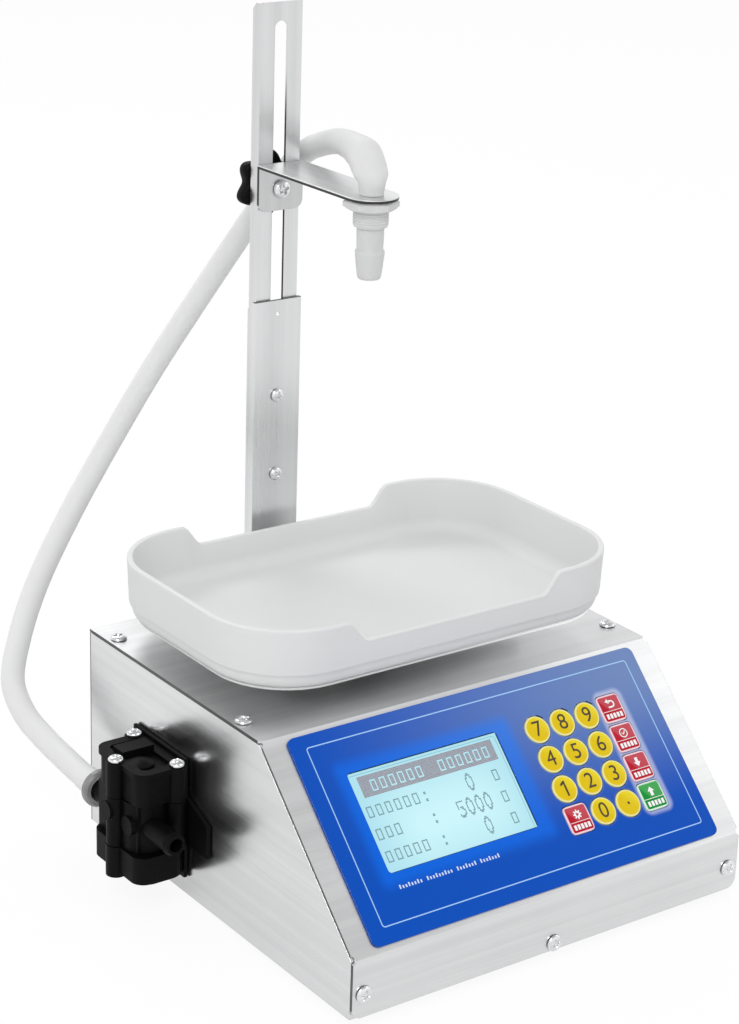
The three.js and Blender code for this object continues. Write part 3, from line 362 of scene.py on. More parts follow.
# The radius is given by the millimetres that are left to the nozzle: the hose swells over the
# barb. It also swells a little over the pump's outlet.
hose_steps = 620
hose_radius = 5.25
hose_wall = 1.3
barb_end = 62
hose_line, hose_at = smooth_route(hose_route, hose_steps)
hose_length = hose_at[-1]
left = (hose_length - hose_at) * 1000
swell_at = [0, 4, 7, 13, 18, 24, 32, 47, barb_end]
swell_radius = [5.05, 5.7, 7.1, 7.4, 7.5, 7.0, 6.2, 5.6, 5.35]
wide = np.where(left > barb_end, hose_radius, np.interp(left, swell_at, swell_radius))
wide += np.interp(hose_at * 1000, [0, 9, 14], [0.45, 0.4, 0])
hose_across, hose_up = carried_frames(hose_line)
turn = np.linspace(0, 2 * np.pi, 48, endpoint=False)[None, :, None]
ring = np.cos(turn) * hose_across[:, None] + np.sin(turn) * hose_up[:, None]

# Just over the nozzle the hose is kinked: the outer side of its bend is pressed flat there.
pressed_flat = np.interp(left, [4, 9, 14, 19], [0, 1, 1, 0])[:, None]
kink_axis = (0.958, -0.285, 0)
outer = np.cross(np.cross(hose_up, hose_across), kink_axis)
outer /= np.linalg.norm(outer, axis=1, keepdims=True)


def hose_rings(radius):
    """Rings of that radius; in the kink their outer half is pressed flat, and they sit further in."""
    flattening = 0.16
    sunk = 0.9
    points = radius[:, None, None] * ring
    outward = np.maximum((points * outer[:, None]).sum(axis=2), 0)
    points -= (flattening * pressed_flat * outward)[..., None] * outer[:, None]
    points -= sunk * (pressed_flat * outer)[:, None]
    return hose_line[:, None] + 0.001 * points


# Its upper end is cut flat, just clear of the bracket's plate.
hose_points = np.concatenate([hose_rings(wide), hose_rings(wide - hose_wall)[::-1]])
hose_points[hose_steps - 1:hose_steps + 1, :, 2] = 0.001 * (bracket_top + 0.12)
hose_mesh = grid_mesh("hose_tube", hose_points, closed=(True, True))
milky = Finish("milky_hose", Roughness=0.48, IOR=1.4, Specular_IOR_Level=0.3)
milky.set(Subsurface_Weight=0.3, Subsurface_Radius=(0.003, 0.003, 0.003), Subsurface_Scale=1.0)
cloud = milky.noise(milky.here(), 60, 3)
_, _, height = milky.parts(milky.here())
# Painted shade: the hose is darker above 200 to 300 mm, and random clouds vary its tone.
tone = height.rise(0.2, 0.3) * 0.75 + cloud * 0.25
milky.set(Base_Color=milky.mix(tone, (0.77, 0.772, 0.772, 1), (0.70, 0.703, 0.703, 1)))
milky.set(Normal=milky.bump(milky.noise(milky.here(), 320, 2), 0.0001, 0.2))
hose = piece_of("hose_tube", hose_mesh, milky, 60)
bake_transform(hose)
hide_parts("hose")


# Case: five-sided chassis of brushed stainless sheet, open at the top and front, welded at its
# corners. The folded cover lies on its inward flanges; its sheared sides and the back corner carry
# painted shade along the seams.
def softened(node, finish, width, segments):
    """Copy of a solid with its doubles merged and flat faces joined, its edges rounded by width mm."""
    sharp = 32
    mesh = solids[node].data.copy()
    work = bmesh.new()
    work.from_mesh(mesh)
    bmesh.ops.remove_doubles(work, verts=work.verts, dist=2e-6)
    bmesh.ops.dissolve_limit(work, angle_limit=0.01, verts=work.verts, edges=work.edges)
    work.to_mesh(mesh)
    work.free()
    made = piece_of(node + "_finished", mesh, finish, sharp)
    rounding = made.modifiers.new("rounding", "BEVEL")
    rounding.width = width / 1000
    rounding.segments = segments
    rounding.limit_method = "ANGLE"
    rounding.angle_limit = math.radians(sharp)
    rounding.harden_normals = True
    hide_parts(node)
    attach(made, solids[node]["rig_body"])


def brushed(name, grain, rough, painted_edge_shade, edge_shade_grey=0.09, dull=None, unfolded=None):
    """Stainless sheet: fine lines and wider bands along one axis, and faint clouds.

    Where the edge mask is one, the sheared edges are painted near-black as shade, and where dull is one, it
    is rougher. Both take millimetres. The lines of a folded sheet follow the places that unfolded gives."""
    steel = Finish(name, Metallic=1.0)
    here = steel.here()
    flat = here
    if unfolded:
        flat = steel.node("ShaderNodeCombineXYZ", inputs=dict(enumerate(unfolded(*steel.parts(here)))))
    place = [part * 1000 for part in steel.parts(here)]
    lines = steel.noise(steel.mapped(flat, grain), 1.0, 3, 0.7)
    bands = steel.noise(steel.mapped(flat, tuple(0.2 * part for part in grain)), 1.0, 2)
    clouds = steel.noise(here, 14, 3, 0.6)
    tone = (lines - 0.5) * 0.14 + (clouds - 0.5) * 0.12 + (bands - 0.5) * 0.24
    bare = steel.mix((tone + 0.5).rise(0.3, 0.7), (0.62, 0.625, 0.63, 1), (0.83, 0.835, 0.84, 1))
    # Painted shade: where the edge mask is one, sheared edges, seams and slot sides go near-black.
    steel.set(Base_Color=steel.mix(painted_edge_shade(*place), bare, (edge_shade_grey, edge_shade_grey, edge_shade_grey, 1)))
    roughness = lines * 0.12 + clouds * 0.08 + (rough - 0.08)
    if dull:
        roughness = roughness + dull(*place) * 0.3
    steel.set(Roughness=roughness)
    steel.set(Normal=steel.bump(lines, 0.00003, 0.3))
    return steel


def case_corner(x, y, z):
    """Painted shade along the seam at the upright corner of the left and back walls."""
    return y.rise(half_width - 1.0, half_width - 0.7) * (1 - x.rise(0.1 - half_width, 0.2 - half_width))


def round_the_corner(x, y, z):
    return x + y, 0.0, z


def cover_edge(x, y, z):
    """Both sheared sides of the cover, painted dark as the shade in the seam."""
    return abs(x).rise(half_width - 0.07, half_width - 0.03)


def round_fold(x, y, z):
    """The left part of the cover's top: one beside its fold to the slope, and a quarter behind."""
    return ((1 - y.rise(-33, -15)) * 0.75 + 0.25) * z.rise(88, 90.5) * (1 - x.rise(0, 60))


case_steel = brushed("steel_case", (6, 900, 900), 0.22, case_corner, unfolded=round_the_corner)
softened("chassis", case_steel, 0.2, 2)
cover_steel = brushed("steel_cover", (6, 900, 900), 0.3, cover_edge, 0.12, round_fold)
softened("top_cover", cover_steel, 0.25, 2)
softened("tray_platform", cover_steel, 0.4, 2)


# Column: a folded channel stands behind the back wall, and a narrower slotted one is nested
# behind it. Both are brushed lengthwise, and their sheared edges are painted dark as shade.
def sleeve_edge(x, y, z):
    """The sleeve's sheared top, painted dark as shade."""
    return z.rise(222.1, 222.3)


def slot_edge(x, y, z):
    """The slot's sheared sides, painted dark as the shade in the slot, in its lower part and clear again
    towards its top.
    """
    return (1 - abs(x).rise(3.25, 3.4)) * z.rise(199, 199.5) * (1 - z.rise(300, 325))


sleeve_steel = brushed("steel_sleeve", (900, 900, 5), 0.27, sleeve_edge)
softened("column_sleeve", sleeve_steel, 0.5, 3)
bar_steel = brushed("steel_bar", (900, 900, 5), 0.27, slot_edge, 0.04)
softened("column_bar", bar_steel, 0.35, 3)


# Bracket: a plate of 1.5 mm bent down into a tab, its nose round, its sheared edge painted dark as shade.
def plate_edge(x, y, z):
    """The plate's sheared rim, which is its sides and its round nose, painted dark as shade. The tab is
    painted a little darker as shade.
    """
    ahead = y - nozzle_y
    nose = (x * x + ahead * ahead).power(0.5).rise(11.15, 11.3) * (1 - ahead.rise(-0.1, 0.1))
    rim = nose.most(abs(x).rise(11.15, 11.3)) * (1 - z.rise(bracket_top - 0.45, bracket_top - 0.35))
    # Painted shade: the whole tab below the plate is a little darker.
    tab_shade = 1 - z.rise(bracket_bottom - 1.0, bracket_bottom)
    return (rim * 0.95).most(tab_shade * 0.18)


def down_the_tab(x, y, z):
    return x, y + z, 0.0


bracket_steel = brushed("steel_bracket", (900, 6, 900), 0.3, plate_edge, 0.02, unfolded=down_the_tab)
softened("nozzle_bracket", bracket_steel, 0.25, 2)


# Screws: zinc-plated pan heads with a pressed cross, bright and slightly blotchy. They hold the
# cover, the column and the pump's stack together, and one clamps the bracket through the slot.
zinc = Finish("zinc_plate", Metallic=1.0)
spots = zinc.noise(zinc.here(), 900, 2)
zinc.set(Base_Color=zinc.mix(spots, (0.60, 0.61, 0.62, 1), (0.94, 0.945, 0.95, 1)))
zinc.set(Roughness=spots * 0.15 + 0.12, Normal=zinc.bump(spots, 0.00004, 0.5))


def pan_screw(node, head, height, shank, turned_by, upright):
    """Rings round the screw's axis: up the shank, out under the head and in over its dome.

    The dome is an ellipse of power 2.4 on an upright rim, and a cross is pressed into it, where
    a point lies within either of two crossed bars."""
    low, high = (np.array(corner) * 1000 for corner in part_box(node))
    middle = (low + high) / 2
    length = (high - low)[2 if upright else 1] - height
    angle = np.linspace(0, 2 * np.pi, 96, endpoint=False)
    swing = np.sin(np.linspace(math.pi / 2, 0.012, 36))
    rim = 0.26
    dome = height * (rim + (1 - rim) * np.sqrt(1 - swing ** 2.4))
    shank_r = shank * np.array([0.5, 0.9, 1, 1, 1])
    shank_h = [-length, -length + 0.3, -length + 1, -0.3, 0]
    under_r = head * np.array([0.94, 0.985])
    under_h = [0, 0.05]
    r = np.concatenate([shank_r, under_r, head * swing])[:, None]
    h = np.concatenate([shank_h, under_h, dome])[:, None]
    on_dome = (np.arange(len(r)) >= len(shank_r) + len(under_r))[:, None]
    u = r * np.cos(angle)
    v = r * np.sin(angle)
    along = u * math.cos(turned_by) + v * math.sin(turned_by)
    across = v * math.cos(turned_by) - u * math.sin(turned_by)
    arm = 0.15 * head
    reach = 0.56 * head
    slope = 0.3
    one = np.maximum(np.abs(along) - reach, np.abs(across) - arm)
    two = np.maximum(np.abs(across) - reach, np.abs(along) - arm)
    inside_cross = np.clip(0.5 - np.minimum(one, two) / slope, 0, 1)
    h = h - 0.5 * height * inside_cross * on_dome
    if upright:
        points = np.stack([middle[0] + u, middle[1] + v, high[2] - height + h], axis=-1)
    else:
        points = np.stack([middle[0] + u, low[1] + height - h, middle[2] + v], axis=-1)
    mesh = grid_mesh(node + "_turned", points * 0.001, closed=(False, True), caps=(True, True))
    made = piece_of(node + "_turned", mesh, zinc, 40)
    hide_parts(node)
    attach(made, solids[node]["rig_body"])


# Radius and height of the head, radius of the shank, and whether the screw stands upright.
screw_sizes = {
    "cover": (3.6, 1.6, 2.0, True),
    "lip": (3.6, 1.6, 2.0, False),
    "pump": (3.25, 2.2, 1.6, True),
    "sleeve": (3.0, 1.8, 2.0, False),
}
screws = [name for name in sorted(solids) if "_screw" in name and name != "clamp_screw"]
for count, node in enumerate(screws):
    head, height, shank, upright = screw_sizes[node.split("_")[0]]
    pan_screw(node, head, height, shank, 0.7 * count, upright)
pan_screw("clamp_screw", 4.0, 2.8, 2.5, 0.4, False)

# Feet: four turned rubber buttons under the base.
rubber = Finish("black_rubber", Roughness=0.85)
grit = rubber.noise(rubber.here(), 1200, 3)
rubber.set(Base_Color=rubber.mix(grit, (0.018, 0.018, 0.018, 1), (0.04, 0.04, 0.04, 1)))
rubber.set(Normal=rubber.bump(grit, 0.00008, 0.6))
for node in solids:
    if node.startswith("foot_"):
        softened(node, rubber, 0.5, 3)


# Keypad: a printed polyester film on the slope, with a white border line. It is deep blue, and
# light from the display glows through it round the window.
panel_place = Vector((0, -0.06665, 0.0588))
panel_tilt = math.atan2(0.0652, 0.0667)
panel = Matrix.Translation(panel_place) @ Matrix.Rotation(panel_tilt, 4, "X")


def panel_wires(finish):
    """Millimetres across and up the slope, from the middle of the slope."""
    spot = finish.mapped(finish.here(), turn=(panel_tilt, 0, 0), place=tuple(panel_place), kind="TEXTURE")
    across, up, out = finish.parts(spot)
    return across * 1000, up * 1000, out * 1000


def round_box(across, up, centre, half, corner):
    """Distance in millimetres outside a rounded rectangle, below zero inside it."""
    x = (abs(across - centre[0]) - (half[0] - corner)).most(0.0)
    y = (abs(up - centre[1]) - (half[1] - corner)).most(0.0)
    return (x * x + y * y).power(0.5) - corner


# Middle of the upper left key, steps to the next key, and the keys' sizes.
key_first = (25.1, 20.22)
key_step = (13.4, 13.6)
key_radius = 6.0
square_half = (6.0, 6.2)


def nearest_key(across, up):
    """Millimetres from the middle of the nearest place of the key grid, across and up."""
    steps_below = 10
    near = []
    for wire, start, step in ((across, key_first[0], key_step[0]), (up, key_first[1], key_step[1])):
        shifted = wire - (start - step / 2 - steps_below * step)
        near.append(shifted.maths("MODULO", shifted, step) - step / 2)
    return near


# The film's marks, from the middle of the slope: the border line, the display's glow, a painted
# reflection that lightens it to the upper right, a painted sheen round the square keys, a faint
# painted sheen in a ring round each round key, and a painted shadow arc over the top keys.
window_centre = (-32.15, 3.0)
blue = Finish("printed_blue_film", Roughness=0.25, Specular_IOR_Level=0.12)
across, up, out = panel_wires(blue)
border = abs(round_box(across, up, (0.6, 0.6), (82.7, 38.35), 1.2))
line = 1 - border.rise(0.12, 0.32)
lit = 1 - round_box(across, up, (-30.9, 2.7), (43.2, 26.3), 3.0).rise(-3.2, 3.6)
# Painted reflection: the film lightens towards the upper right.
painted_reflection = across.rise(-100, 95) * up.rise(-30, 36)
film = blue.mix(painted_reflection, (0.0, 0.075, 0.48, 1), (0.16, 0.25, 0.50, 1))
film = blue.mix(lit * 0.85, film, blue.mix(painted_reflection, (0.0, 0.105, 0.62, 1), (0.06, 0.22, 0.68, 1)))
near_x, near_y = nearest_key(across, up)
in_rows = 1 - abs(up + 0.2).rise(27.0, 27.4)
# Painted sheen: a pale field round the square keys.
painted_sheen = 1 - round_box(across, up, (66.0, 0.0), (6.3, 27.2), 2.5).rise(0.0, 2.4)
film = blue.mix(painted_sheen * 0.55, film, (0.62, 0.66, 0.86, 1))
ring_out = (near_x * near_x + near_y * near_y).power(0.5)
field_of_keys = (1 - abs(across - 38.5).rise(19.6, 20.2)) * in_rows
# Painted sheen: a faint pale ring round each round key.
film = blue.mix((1 - ring_out.rise(key_radius, 7.2)) * field_of_keys * 0.18, film, (0.42, 0.50, 0.80, 1))
# Painted shadow: a dark arc just over the upper right of each top key.
painted_shadow_arc = (1 - abs(ring_out - 6.5).rise(0.2, 0.42)) * (near_x / ring_out).rise(0.32, 0.45)
painted_shadow_arc = painted_shadow_arc * near_y.rise(3.6, 4.4) * (1 - near_x.rise(5.2, 5.6)) * up.rise(20, 21) * field_of_keys
film = blue.mix(painted_shadow_arc * 0.9, film, (0.005, 0.01, 0.03, 1))
blue.set(Base_Color=blue.mix(line * 0.9, film, (0.42, 0.68, 0.98, 1)))
blue.set(Emission_Color=blue.mix(lit, (0, 0, 0, 1), (0.0, 0.02, 0.1, 1)), Emission_Strength=1.0)
blue.set(Normal=blue.bump(blue.noise(blue.here(), 1500, 2), 0.00002, 0.25))
softened("keypad_overlay", blue, 0.15, 1)


# Keys: domed film buttons, round yellow ones for the digits and square red or green ones. Each
# has a pale rim, and prints in dark brown or white.
def on_panel(across, up, out):
    """Points of the machine for millimetres across, up and out of the slope."""
    flat = np.stack(np.broadcast_arrays(across, up, out), axis=-1) * 0.001
    turned = np.array(panel.to_3x3())
    return flat @ turned.T + np.array(panel.translation)


key_names = [
    ["key_7", "key_8", "key_9", "key_clear"],
    ["key_4", "key_5", "key_6", "key_set"],
    ["key_1", "key_2", "key_3", "key_menu"],
    ["key_mode", "key_0", "key_point", "key_start"],
]


def key_cap(name, centre, square):
    """Dome over a circle or a rounded square: rings shrink to the middle as the height rises."""
    angle = np.linspace(0, 2 * np.pi, 72, endpoint=False)
    if square:
        power = 7.0
        reach = (np.abs(np.cos(angle)) ** power + np.abs(np.sin(angle)) ** power) ** (-1 / power)
        half = square_half
    else:
        reach = np.ones_like(angle)
        half = (key_radius, key_radius)
    rim = np.array([1, 1, 0.99, 0.965, 0.93, 0.8, 0.6, 0.4, 0.2, 0.03])
    height = np.array([-0.9, 0.95, 1.1, 1.18, 1.22, 1.27, 1.31, 1.34, 1.36, 1.365])
    x = centre[0] + half[0] * rim[:, None] * (reach * np.cos(angle))[None]
    y = centre[1] + half[1] * rim[:, None] * (reach * np.sin(angle))[None]
    return grid_mesh(name, on_panel(x, y, height[:, None]), closed=(False, True), caps=(True, True))


def key_finish(name, colour, pale, rim, square):
    """Printed button: a pale rim, the main colour, and an upper right part lightened by a painted
    highlight.
    """
    finish = Finish(name, Roughness=0.25, Specular_IOR_Level=0.2)
    x, y = nearest_key(*panel_wires(finish)[:2])
    if square:
        edge = round_box(x, y, (0, 0), square_half, 1.6).rise(-0.9, -0.6)
        # Painted highlight: a glint at the upper right and a slightly lighter upper part.
        painted_glint = (x + y * 0.75).rise(-2.4, -1.2) * y.rise(-1.3, -1.1) * 0.5
        painted_highlight = painted_glint + y.rise(-1, 6) * 0.1
    else:
        edge = (x * x + y * y).power(0.5).rise(5.1, 5.4)
        # Painted highlight: lighter towards the upper right.
        painted_highlight = (x + y).rise(-1.0, 8.0) * 0.75
    body = finish.mix(painted_highlight, colour, pale)
    finish.set(Base_Color=finish.mix(edge, body, rim), Normal=finish.bump(1 - edge, 0.00012, 0.6))
    return finish


yellow = key_finish("yellow_key", (0.74, 0.53, 0.0, 1), (0.84, 0.71, 0.01, 1), (0.82, 0.78, 0.34, 1), False)
red = key_finish("red_key", (0.47, 0.002, 0.02, 1), (0.58, 0.10, 0.13, 1), (0.90, 0.66, 0.72, 1), True)
green = key_finish("green_key", (0.0, 0.27, 0.03, 1), (0.08, 0.44, 0.12, 1), (0.70, 0.88, 0.76, 1), True)

ink = Finish("brown_ink", Roughness=0.4)
ink.set(Base_Color=ink.mix(ink.noise(ink.here(), 900), (0.035, 0.018, 0.002, 1), (0.06, 0.035, 0.006, 1)))
chalk = Finish("white_print", Roughness=0.4)
grains = chalk.noise(chalk.here(), 900)
chalk.set(Base_Color=chalk.mix(grains, (0.86, 0.84, 0.85, 1), (0.95, 0.93, 0.94, 1)))
half_print = 0.015


def printed(name, loops, centre, height, finish, body):
    """Flat print on the slope: closed outlines in millimetres, holes by the even-odd rule."""
    flat = bpy.data.curves.new(name, "CURVE")
    flat.dimensions = "2D"
    flat.fill_mode = "BOTH"
    flat.extrude = half_print
    for loop in loops:
        spline = flat.splines.new("POLY")
        spline.points.add(len(loop) - 1)
        for point, (x, y) in zip(spline.points, loop):
            point.co = (x, y, 0, 1)
        spline.use_cyclic_u = True
    pressed(name, flat, centre, height, finish, body)


def pressed(name, flat, centre, height, finish, body):
    """A flat curve or text made a mesh, and laid on the slope at centre and height."""
    holder = bpy.data.objects.new(name + "_flat", flat)
    scene.collection.objects.link(holder)
    bpy.context.view_layer.update()
    mesh = bpy.data.meshes.new_from_object(holder.evaluated_get(bpy.context.evaluated_depsgraph_get()))
    bpy.data.objects.remove(holder)
    flat_points = np.empty(len(mesh.vertices) * 3)
    mesh.vertices.foreach_get("co", flat_points)
    x, y, z = flat_points.reshape(-1, 3).T
    mesh.vertices.foreach_set("co", on_panel(x + centre[0], y + centre[1], z + height).ravel())
    mesh.name = name
    made = piece_of(name, mesh, finish)
    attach(made, body)


def circle(radius):
    angle = np.linspace(0, 2 * np.pi, 40, endpoint=False)
    return np.stack([radius * np.cos(angle), radius * np.sin(angle)], axis=1).tolist()


def bar(x0, y0, x1, y1):
    return [(x0, y0), (x1, y0), (x1, y1), (x0, y1)]


def stroke(points, width):
    """Outline of a bent line of that width, square at its ends."""
    p = np.array(points, float)
    d = np.gradient(p, axis=0)
    d /= np.linalg.norm(d, axis=1, keepdims=True)
    side = np.stack([-d[:, 1], d[:, 0]], axis=1) * width / 2
    return np.concatenate([p + side, (p - side)[::-1]]).tolist()


def arrow(direction):
    """Thick arrow of 4 mm that points up or down."""
    points = [(-0.75, -2), (0.75, -2), (0.75, 0), (1.75, 0), (0, 2), (-1.75, 0), (-0.75, 0)]
    return [(x, y * direction) for x, y in points]


def gear():
    """Ring of eight teeth: the radius steps between two values eight times a turn."""
    angle = np.linspace(0, 2 * np.pi, 96, endpoint=False)
    radius = 1.75 + 0.35 * np.clip(np.cos(8 * angle) * 3, -1, 1)
    return np.stack([radius * np.cos(angle), radius * np.sin(angle)], axis=1).tolist()


# Signs of the square keys, and two marks that need no font.
bow = 1.35
bend = np.linspace(-np.pi / 2, np.pi / 2, 12)
back_arrow = [(-1.2, -bow)] + [(0.7 + bow * math.cos(a), bow * math.sin(a)) for a in bend] + [(-0.7, bow)]
signs = {
    "key_clear": [stroke(back_arrow, 0.7), [(-0.6, 2.5), (-0.6, 0.2), (-2.2, 1.35)]],
    "key_set": [circle(2.1), circle(1.65), stroke([(-0.9, 0.2), (-0.2, -0.6), (0.95, 0.85)], 0.5)],
    "key_menu": [arrow(-1)],
    "key_start": [arrow(1)],
    "key_mode": [gear(), [(-0.6, 0.95), (1.0, 0), (-0.6, -0.95)]],
}
one = [(0.85, -3.4), (0.85, 3.4), (0.1, 3.4), (-1.6, 2.35), (-1.6, 1.25), (-0.1, 2.1), (-0.1, -3.4)]
digit_marks = {"key_1": one, "key_point": circle(0.62)}
top_of_key = 1.385
for row, names in enumerate(key_names):
    for column, name in enumerate(names):
        centre = (key_first[0] + column * key_step[0], key_first[1] - row * key_step[1])
        body = name + "_cap"
        square = name in signs
        finish, slot = (red, "red_key") if square else (yellow, "yellow_key")
        if name == "key_start":
            finish, slot = green, "green_key"
        cap = piece_of(name + "_dome", key_cap(name + "_dome", centre, square), finish, 50)
        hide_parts(name)
        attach(cap, body)
        if square:
            high = (centre[0], centre[1] + 1.9)
            printed(name + "_sign", signs[name], high, top_of_key, chalk, body)
            marks = [bar(-5.2, -1.3, 5.2, -1.05)]
            marks += [bar(-4.2 + 1.8 * i, -4.5, -2.95 + 1.8 * i, -2.3) for i in range(5)]
            printed(name + "_bar", marks, centre, top_of_key, chalk, body)
        elif name in digit_marks:
            printed(name + "_mark", [digit_marks[name]], centre, top_of_key, ink, body)
        else:
            text = bpy.data.curves.new(name + "_digit", "FONT")
            text.body = name[-1]
            text.size = 9.6
            text.align_x = "CENTER"
            text.align_y = "CENTER"
            text.extrude = half_print
            pressed(name + "_digit", text, centre, top_of_key, ink, body)


# Display: a back-lit dot-matrix module. The glass is pale cyan, and its dark dots show a band,
# rows of hollow blocks and plain numbers.
glass = Finish("lit_glass", Roughness=0.12, Specular_IOR_Level=0.2)
across, up, out = panel_wires(glass)
middle = 1 - round_box(across, up, (-30, -3), (18, 5), 5.0).rise(-6, 26)
drift = glass.noise(glass.here(), 45, 2)
pale = glass.mix(middle * 0.85 + drift * 0.15, (0.40, 0.72, 0.82, 1), (0.60, 0.90, 0.95, 1))
bezel = round_box(across, up, (-33.5, 1.7), (37.4, 21.5), 1.5)
pale = glass.mix((1 - abs(bezel).rise(0.1, 0.26)) * 0.75, pale, (0.20, 0.46, 0.58, 1))
glass.set(Base_Color=(0.02, 0.03, 0.03, 1), Emission_Color=pale, Emission_Strength=1.0)
glass.set(Normal=glass.bump(glass.noise(glass.here(), 2500, 2), 0.00001, 0.2))
x = window_centre[0] + np.linspace(-37.2, 37.2, 60)[None, :]
y = window_centre[1] + np.linspace(-21.3, 21.3, 36)[:, None]
sheet = piece_of("display_glass", grid_mesh("display_glass", on_panel(x, y, 0.08)), glass)
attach(sheet, "machine")

dots = Finish("dark_dots", Roughness=0.5, Specular_IOR_Level=0.1)
dots.set(Base_Color=dots.mix(dots.noise(dots.here(), 700), (0.15, 0.27, 0.30, 1), (0.20, 0.33, 0.37, 1)))
band = Finish("dark_band", Roughness=0.5, Specular_IOR_Level=0.1)
band.set(Base_Color=band.mix(band.noise(band.here(), 700), (0.27, 0.23, 0.27, 1), (0.34, 0.29, 0.34, 1)))


def glyph(kind):
    """One cell of a digit or sign: a dot is dark where its centre is near a stroke."""
    y, x = np.mgrid[15:-1:-1, 0:8]
    if kind == "0":
        ring = np.hypot((x - 3.5) / 2.6, (y - 7.0) / 5.4)
        return np.abs(ring - 1) < 0.2
    if kind == "5":
        bowl = np.hypot((x - 3.3) / 2.7, (y - 4.6) / 3.2)
        on = (np.abs(bowl - 1) < 0.24) & ((x > 2.5) | (y < 3.2))
        on |= (y == 12) & (x > 0.5) & (x < 6.5)
        return on | ((x == 1) & (y > 6) & (y < 13))
    if kind == ":":
        return (x > 2.5) & (x < 4.5) & (((y > 2.5) & (y < 4.5)) | ((y > 7.5) & (y < 9.5)))
    return np.zeros_like(x, bool)


# Size of a dot, steps from dot to dot, and the dots' height over the slope, in millimetres. A
# cell for one digit is 8 dots wide and 16 high.
dot_size = (0.5, 0.54)
dot_step = (0.56, 0.6)
dot_height = 0.12
cell = (8, 16)


def dot_piece(name, dark, finish):
    """A small flat oblong for each dark dot of a field, which has 64 rows of 128 dots."""
    rows, columns = np.nonzero(dark)
    left_edge = window_centre[0] - 35.8 + columns * dot_step[0]
    top_edge = window_centre[1] + 19.2 - rows * dot_step[1]
    x = left_edge[:, None] + np.array([0, dot_size[0], dot_size[0], 0])
    y = top_edge[:, None] - np.array([0, 0, dot_size[1], dot_size[1]])
    points = on_panel(x, y, dot_height).reshape(-1, 3)
    mesh = bpy.data.meshes.new(name)
    mesh.from_pydata(points.tolist(), [], np.arange(len(points)).reshape(-1, 4)[:, ::-1].tolist())
    made = piece_of(name, mesh, finish)
    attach(made, "machine")


def write(dark, text, row, column):
    """Darken the dots of digits and signs, one cell each."""
    for i, kind in enumerate(text):
        left_dot = column + cell[0] * i
        dark[row:row + cell[1], left_dot:left_dot + cell[0]] |= glyph(kind)


def blocks(dark, row, column, count, outline=True):
    """A row of hollow blocks, one in each cell: dark outlines, or light ones in a dark band."""
    for i in range(count):
        left_dot = column + cell[0] * i
        dark[row:row + 8, left_dot + 1:left_dot + 6] = outline
        dark[row + 1:row + 7, left_dot + 2:left_dot + 5] = not outline


field = np.zeros((64, 128), bool)
for row, count, text, column in ((16, 6, "0", 88), (32, 3, "5000", 72), (48, 5, "0", 88)):
    blocks(field, row + 5, 0, count)
    write(field, ":", row, 48)
    write(field, text, row, column)
    blocks(field, row + 5, 112, 1)
dot_piece("display_dots", field, dots)
title = np.zeros((64, 128), bool)
title[0:15, 4:124] = True
for start in (12, 72):
    blocks(title, 4, start, 6, outline=False)
dot_piece("display_band", title, band)


# Line under the window: four groups of short upright strokes, every third a little taller.
strokes = []
for start, count in ((0, 8), (13.4, 9), (28.2, 7), (39.9, 7)):
    for i in range(count):
        x = start + 1.45 * i
        strokes.append(bar(x, 0, x + 0.7, 1.2 + 0.5 * (i % 3 == 0)))
pale_ink = Finish("pale_print", Roughness=0.4)
tint = pale_ink.noise(pale_ink.here(), 900)
pale_ink.set(Base_Color=pale_ink.mix(tint, (0.55, 0.66, 0.90, 1), (0.66, 0.75, 0.95, 1)))
printed("panel_strokes", strokes, (-68, -25.6), 0.93, pale_ink, "machine")


# Inside the case: the display module's board and frame, the control board, the load cell and the
# pump's motor. The spacer between the back wall and the column is milled like the load cell.
mask = Finish("solder_mask", Roughness=0.35, Coat_Weight=0.4)
weave = mask.noise(mask.here(), 300, 4)
mask.set(Base_Color=mask.mix(weave, (0.01, 0.10, 0.035, 1), (0.02, 0.16, 0.06, 1)))
mask.set(Normal=mask.bump(mask.noise(mask.mapped(mask.here(), (700, 90, 700)), 1.0), 0.00005, 0.4))
softened("lcd_module", mask, 0.15, 1)
softened("control_board", mask, 0.1, 1)
milled = Finish("milled_aluminium", Metallic=1.0)
tracks = milled.noise(milled.mapped(milled.here(), (40, 700, 700)), 1.0, 2)
milled.set(Base_Color=milled.mix(tracks, (0.56, 0.57, 0.58, 1), (0.76, 0.77, 0.78, 1)))
milled.set(Roughness=tracks * 0.2 + 0.28, Normal=milled.bump(tracks, 0.00004, 0.4))
for node in ("load_cell", "load_cell_block", "column_spacer"):
    softened(node, milled, 0.4, 2)
softened("pump_motor", zinc, 0.5, 2)
softened("pump_shaft", zinc, 0.2, 1)


# Tray: one milky moulding with a flat floor, upright walls of 2.6 mm and a low rim in the middle
# of its long sides. A foot ring, a groove and a faint moulding line run round its bottom, and
# the right part of its underside glows with painted light.
tray_centre_y = 35.4
tray_base = 102.7
tray_half = (98.0, 63.85)
tray_corner = 37.4
tray_height = 27.5
tray_dip = 9.4
ramp_start = 45
ramp_length = 10
plain_wall = 8.4


